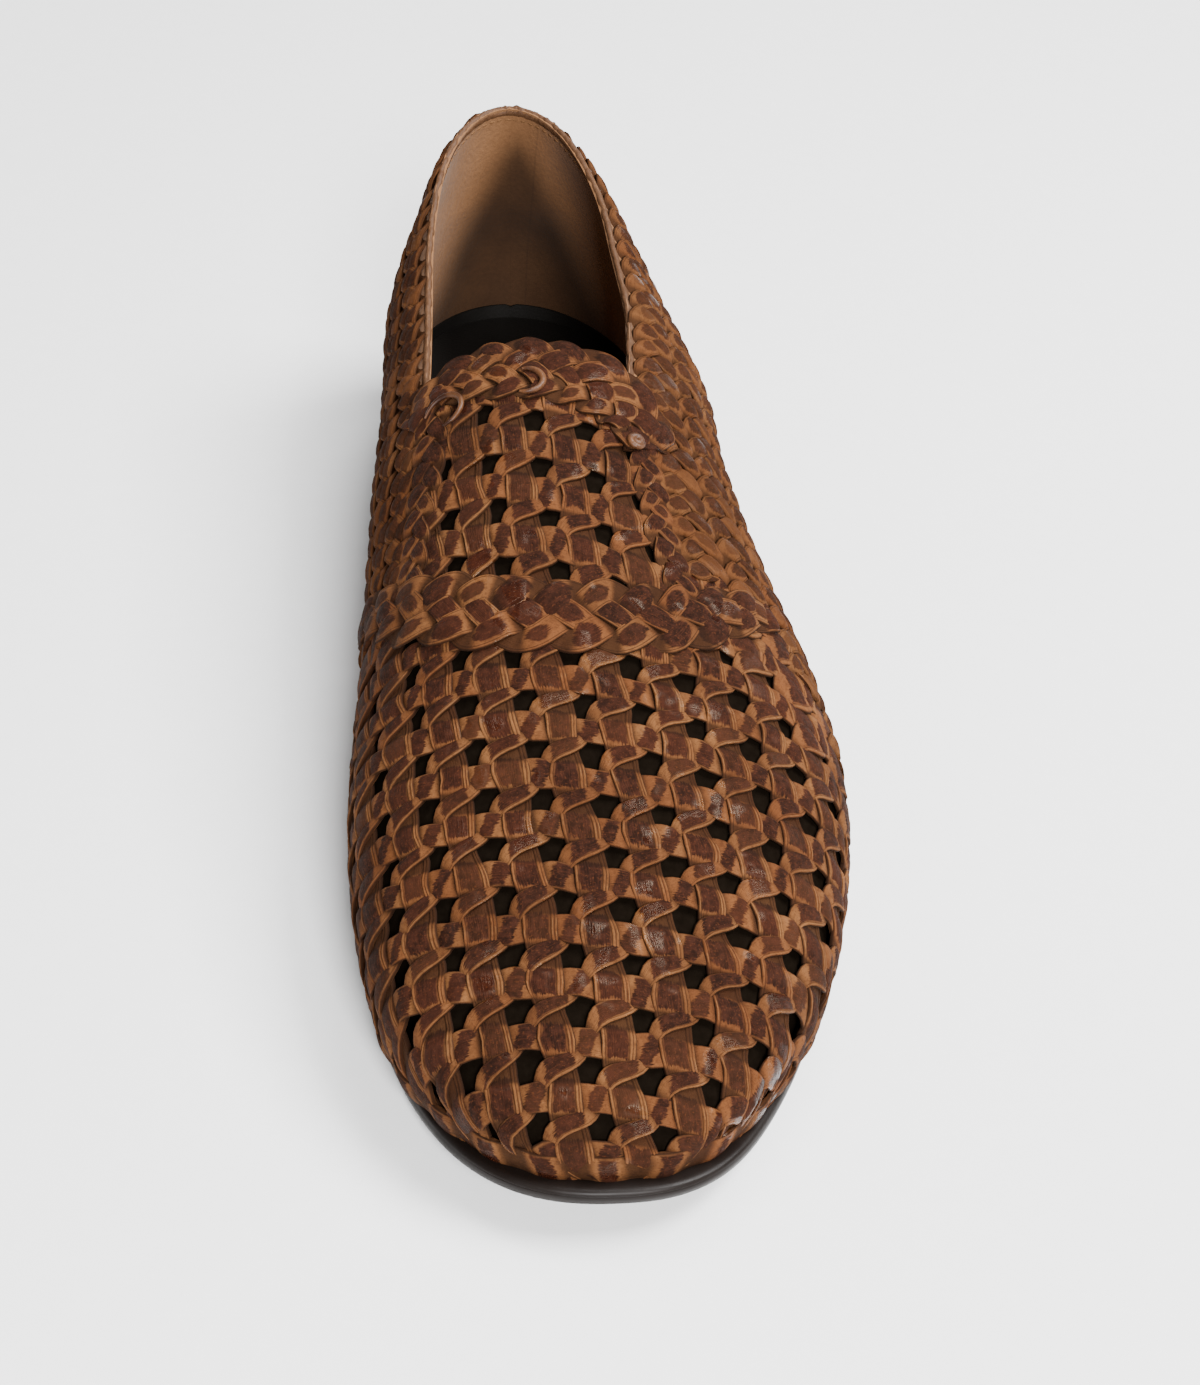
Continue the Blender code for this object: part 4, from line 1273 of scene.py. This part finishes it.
# ------------------------------------------------------------------ curls
# Three strip ends rolled into small curls at the throat plait's front edge, two open and
# one wound up tight.
CURLS = (
    # along, reach, outer radius, inner radius, starts at, turns, half height of the roll
    (0.1228, -0.0042, 0.0042, 0.0034, -0.28, 0.60, 0.0008),
    (0.1248, -0.0236, 0.0052, 0.0042, 0.55, 0.70, 0.0007),
    (0.1382, 0.0208, 0.0019, 0.0002, 0.00, 1.80, 0.0010),
)
CURL_LIFT = 0.0021
CURL_RINGS = 60
CURL_ROUND = 12

curl_leather = Finish("curled_strip_leather", 0.45, Specular_IOR_Level=0.22)
tone = curl_leather.fade(curl_leather.noise(170.0, 4.0), 0.35, 0.65)
curl_leather.colour(curl_leather.blend(tone, (0.020, 0.0065, 0.0028), (0.085, 0.0330, 0.0120)))
curl_leather.bump(curl_leather.noise(500.0, 3.0), 0.0004)
curls = Strips()
for along, reach, outer, inner, start, turns, roll in CURLS:
    share = np.linspace(0, 1, CURL_RINGS)
    angle = 2 * np.pi * (start + turns * share)
    radius = outer + (inner - outer) * share
    thin = roll * np.sqrt(np.clip(np.sin(np.pi * np.clip(share, 0.02, 0.98)), 0, 1)) ** 0.7
    around = np.linspace(0, 2 * np.pi, CURL_ROUND, endpoint=False)
    out = radius[:, None] + thin[:, None] * np.cos(around)
    out_along = along + out * np.sin(angle)[:, None]
    out_reach = reach + out * np.cos(angle)[:, None]
    there = last.skin(out_along, out_reach, CURL_LIFT + thin[:, None] * np.sin(around))
    cross = np.repeat((3 * share)[:, None], CURL_ROUND, axis=1)
    side = np.broadcast_to(0.7 * np.cos(around), cross.shape)
    curls.lay(there, cross, side, np.ones(CURL_RINGS), 5)
curls.add("throat_curls", curl_leather)


# ------------------------------------------------------------------ quarters
# The quarters are closed: rows of fine three-strand plaits, one below another, run from the
# vamp round the heel to the vamp's other side.
CLEAR_OF_BACK = 3e-5         # lines round the heel stay this far off the last's very end
ROW_POINTS = 160

# Cross section of a strand that is thickest in the middle, like a leaf.
LEAF = np.array((
    (-1.00, -0.60), (-0.92, -0.16), (-0.50, 0.20), (0.00, 0.34), (0.50, 0.20), (0.92, -0.16),
    (1.00, -0.60), (0.60, -1.00), (-0.60, -1.00),
))


def quarter_row(k):
    """Row k's line, from its inner front end round the heel to its outer one."""
    halves = []
    for side in (-1, 1):
        along = from_heel(ROW_ENDS[side][k], ROW_POINTS, CLEAR_OF_BACK)
        top, low = row_edges(along, side)
        size = top + (low - top) * (k + 0.5) / ROWS
        halves.append(np.stack((along, size, (low - top) / ROWS, np.full(ROW_POINTS, side))))
    along, size, width, side = np.hstack((halves[0][:, ::-1], halves[1][:, 1:]))
    run = last.run(along, side * size)

    def spot(s, t, lift):
        """Point at a distance along the row, t beside it."""
        at = np.clip(s, 0, run[-1])
        sign = np.where(at < run[ROW_POINTS - 1], -1, 1)
        return last.skin(np.interp(at, run, along), sign * (np.interp(at, run, size) - t), lift)

    return spot, run[-1], lambda s: 1.12 * np.interp(s, run, width)


quarter_leather = StripLeather("quarter_strip_leather", "plait", 0.35)
rows = Strips()
chance = np.random.default_rng(35)
for k in range(ROWS):
    plait(rows, chance, quarter_row(k), LEAF, strands=3, pitch=0.0066, strand_width=0.0062,
          rise=-0.0002, step=0.0011, height=0.0009)
piece = rows.add("quarter_plaited_rows", quarter_leather)
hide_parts("upper")


# ------------------------------------------------------------------ binding
# A strip of thin tan leather folded over the top line, from one side of the plug round the
# heel to the other, and stitched through near its edge.
binding_finish = Finish("binding_leather_tan", 0.6, Specular_IOR_Level=0.2)
tone = binding_finish.noise(60.0, 4.0)
colour = binding_finish.blend(tone, (0.050, 0.0215, 0.0090), (0.082, 0.038, 0.0165))
spots = binding_finish.noise(500.0, 3.0)
binding_finish.colour(binding_finish.layer(colour, (0.050, 0.020, 0.0085), spots, 0.4, 0.8, 0.5))
binding_finish.bump(binding_finish.noise(350.0, 4.0), 0.0007)
RIM = (
    # lifted off the last, down from the top line
    (-0.0014, 0.0024), (-0.0010, 0.0014), (-0.0008, 0.0005), (-0.0010, 0.0000), (-0.0014, -0.0003),
    (-0.0019, -0.0003), (-0.0024, 0.0001), (-0.0027, 0.0007), (-0.0028, 0.0014), (-0.0027, 0.0019),
    (-0.0024, 0.0019), (-0.0021, 0.0010), (-0.0016, 0.0006), (-0.0013, 0.0012),
)
BEFORE_THROAT = 0.0012       # the binding stops this far behind the throat's corners


def topline_path(count):
    """Places along the top line from the inner end of the plug round the heel to the outer."""
    sides = []
    for side in (-1, 1):
        along = from_heel(THROAT[side] - BEFORE_THROAT, count, CLEAR_OF_BACK)
        reach = side * last.edge("topline", along, side)
        line = np.stack((along, reach))
        sides.append(line[:, ::-1] if side < 0 else line[:, 1:])
    return np.hstack(sides)


def make_binding():
    """The binding, its section swept along the top line and a little uneven."""
    along, reach = topline_path(150)
    rim = np.array(RIM)
    count = len(along)
    around = len(rim)
    chance = np.random.default_rng(41)
    bumps = chance.uniform(-1, 1, (3, count))
    low, rise, roll = (np.convolve(row, (0.25, 0.5, 0.25), "same")[:, None] for row in bumps)
    top = rim[None, :, 1] < 0.0012
    down = rim[None, :, 1] + np.where(top, 0.00035 * low, 0)
    lift = rim[None, :, 0] + np.where(top, 0.00020 * rise, 0.00010 * roll)
    across = reach[:, None] + np.sign(reach)[:, None] * down
    there = last.skin(np.repeat(along[:, None], around, axis=1), across, lift)
    ends = [list(range(around))[::-1], list(range((count - 1) * around, count * around))]
    faces = ring_faces(count, around).tolist() + ends
    piece = add_piece("topline_binding_strip", there.reshape(-1, 3), faces, binding_finish, sharp=60)
    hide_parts("topline_binding")


make_binding()


# ------------------------------------------------------------------ binding stitches
# Brown thread stitched through the binding and the lining just under the top line, in short
# stitches that sink into the leather at both ends.
thread = Finish("brown_thread", 0.8, Specular_IOR_Level=0.1)
thread.mottle(900.0, 2.0, (0.095, 0.045, 0.019), (0.150, 0.074, 0.032))
thread.bump(thread.noise(2500.0, 2.0), 0.00005)
STITCH_PITCH = 0.0026
STITCH_LENGTH = 0.0017
STITCH_DOWN = 0.0031         # below the top line
STITCH_LIFT = -0.00262       # on the lining's side of the binding
THREAD_THICK = 0.00024


def binding_stitches():
    """A row of short stitches, each a thread that thins out at both ends."""
    along, reach = topline_path(300)
    run = last.run(along, reach)
    starts = np.arange(0.003, run[-1] - 0.004, STITCH_PITCH)
    turn = np.linspace(0, 2 * np.pi, 6, endpoint=False)
    made = Strips()
    for start in starts:
        s = start + STITCH_LENGTH * np.array((0.0, 0.15, 0.5, 0.85, 1.0))[:, None]
        thick = THREAD_THICK * np.array((0.25, 0.85, 1.0, 0.85, 0.25))[:, None]
        side = np.where(s < run[np.argmin(along)], -1, 1)
        down = STITCH_DOWN + thick * np.cos(turn)
        lift = STITCH_LIFT + thick * np.sin(turn)
        across = side * (np.interp(s, run, np.abs(reach)) + down)
        there = last.skin(np.interp(s, run, along), across, lift)
        made.lay(there, 0 * down, 0 * down, np.ones(5), 0)
    made.add("binding_stitches", thread)


binding_stitches()
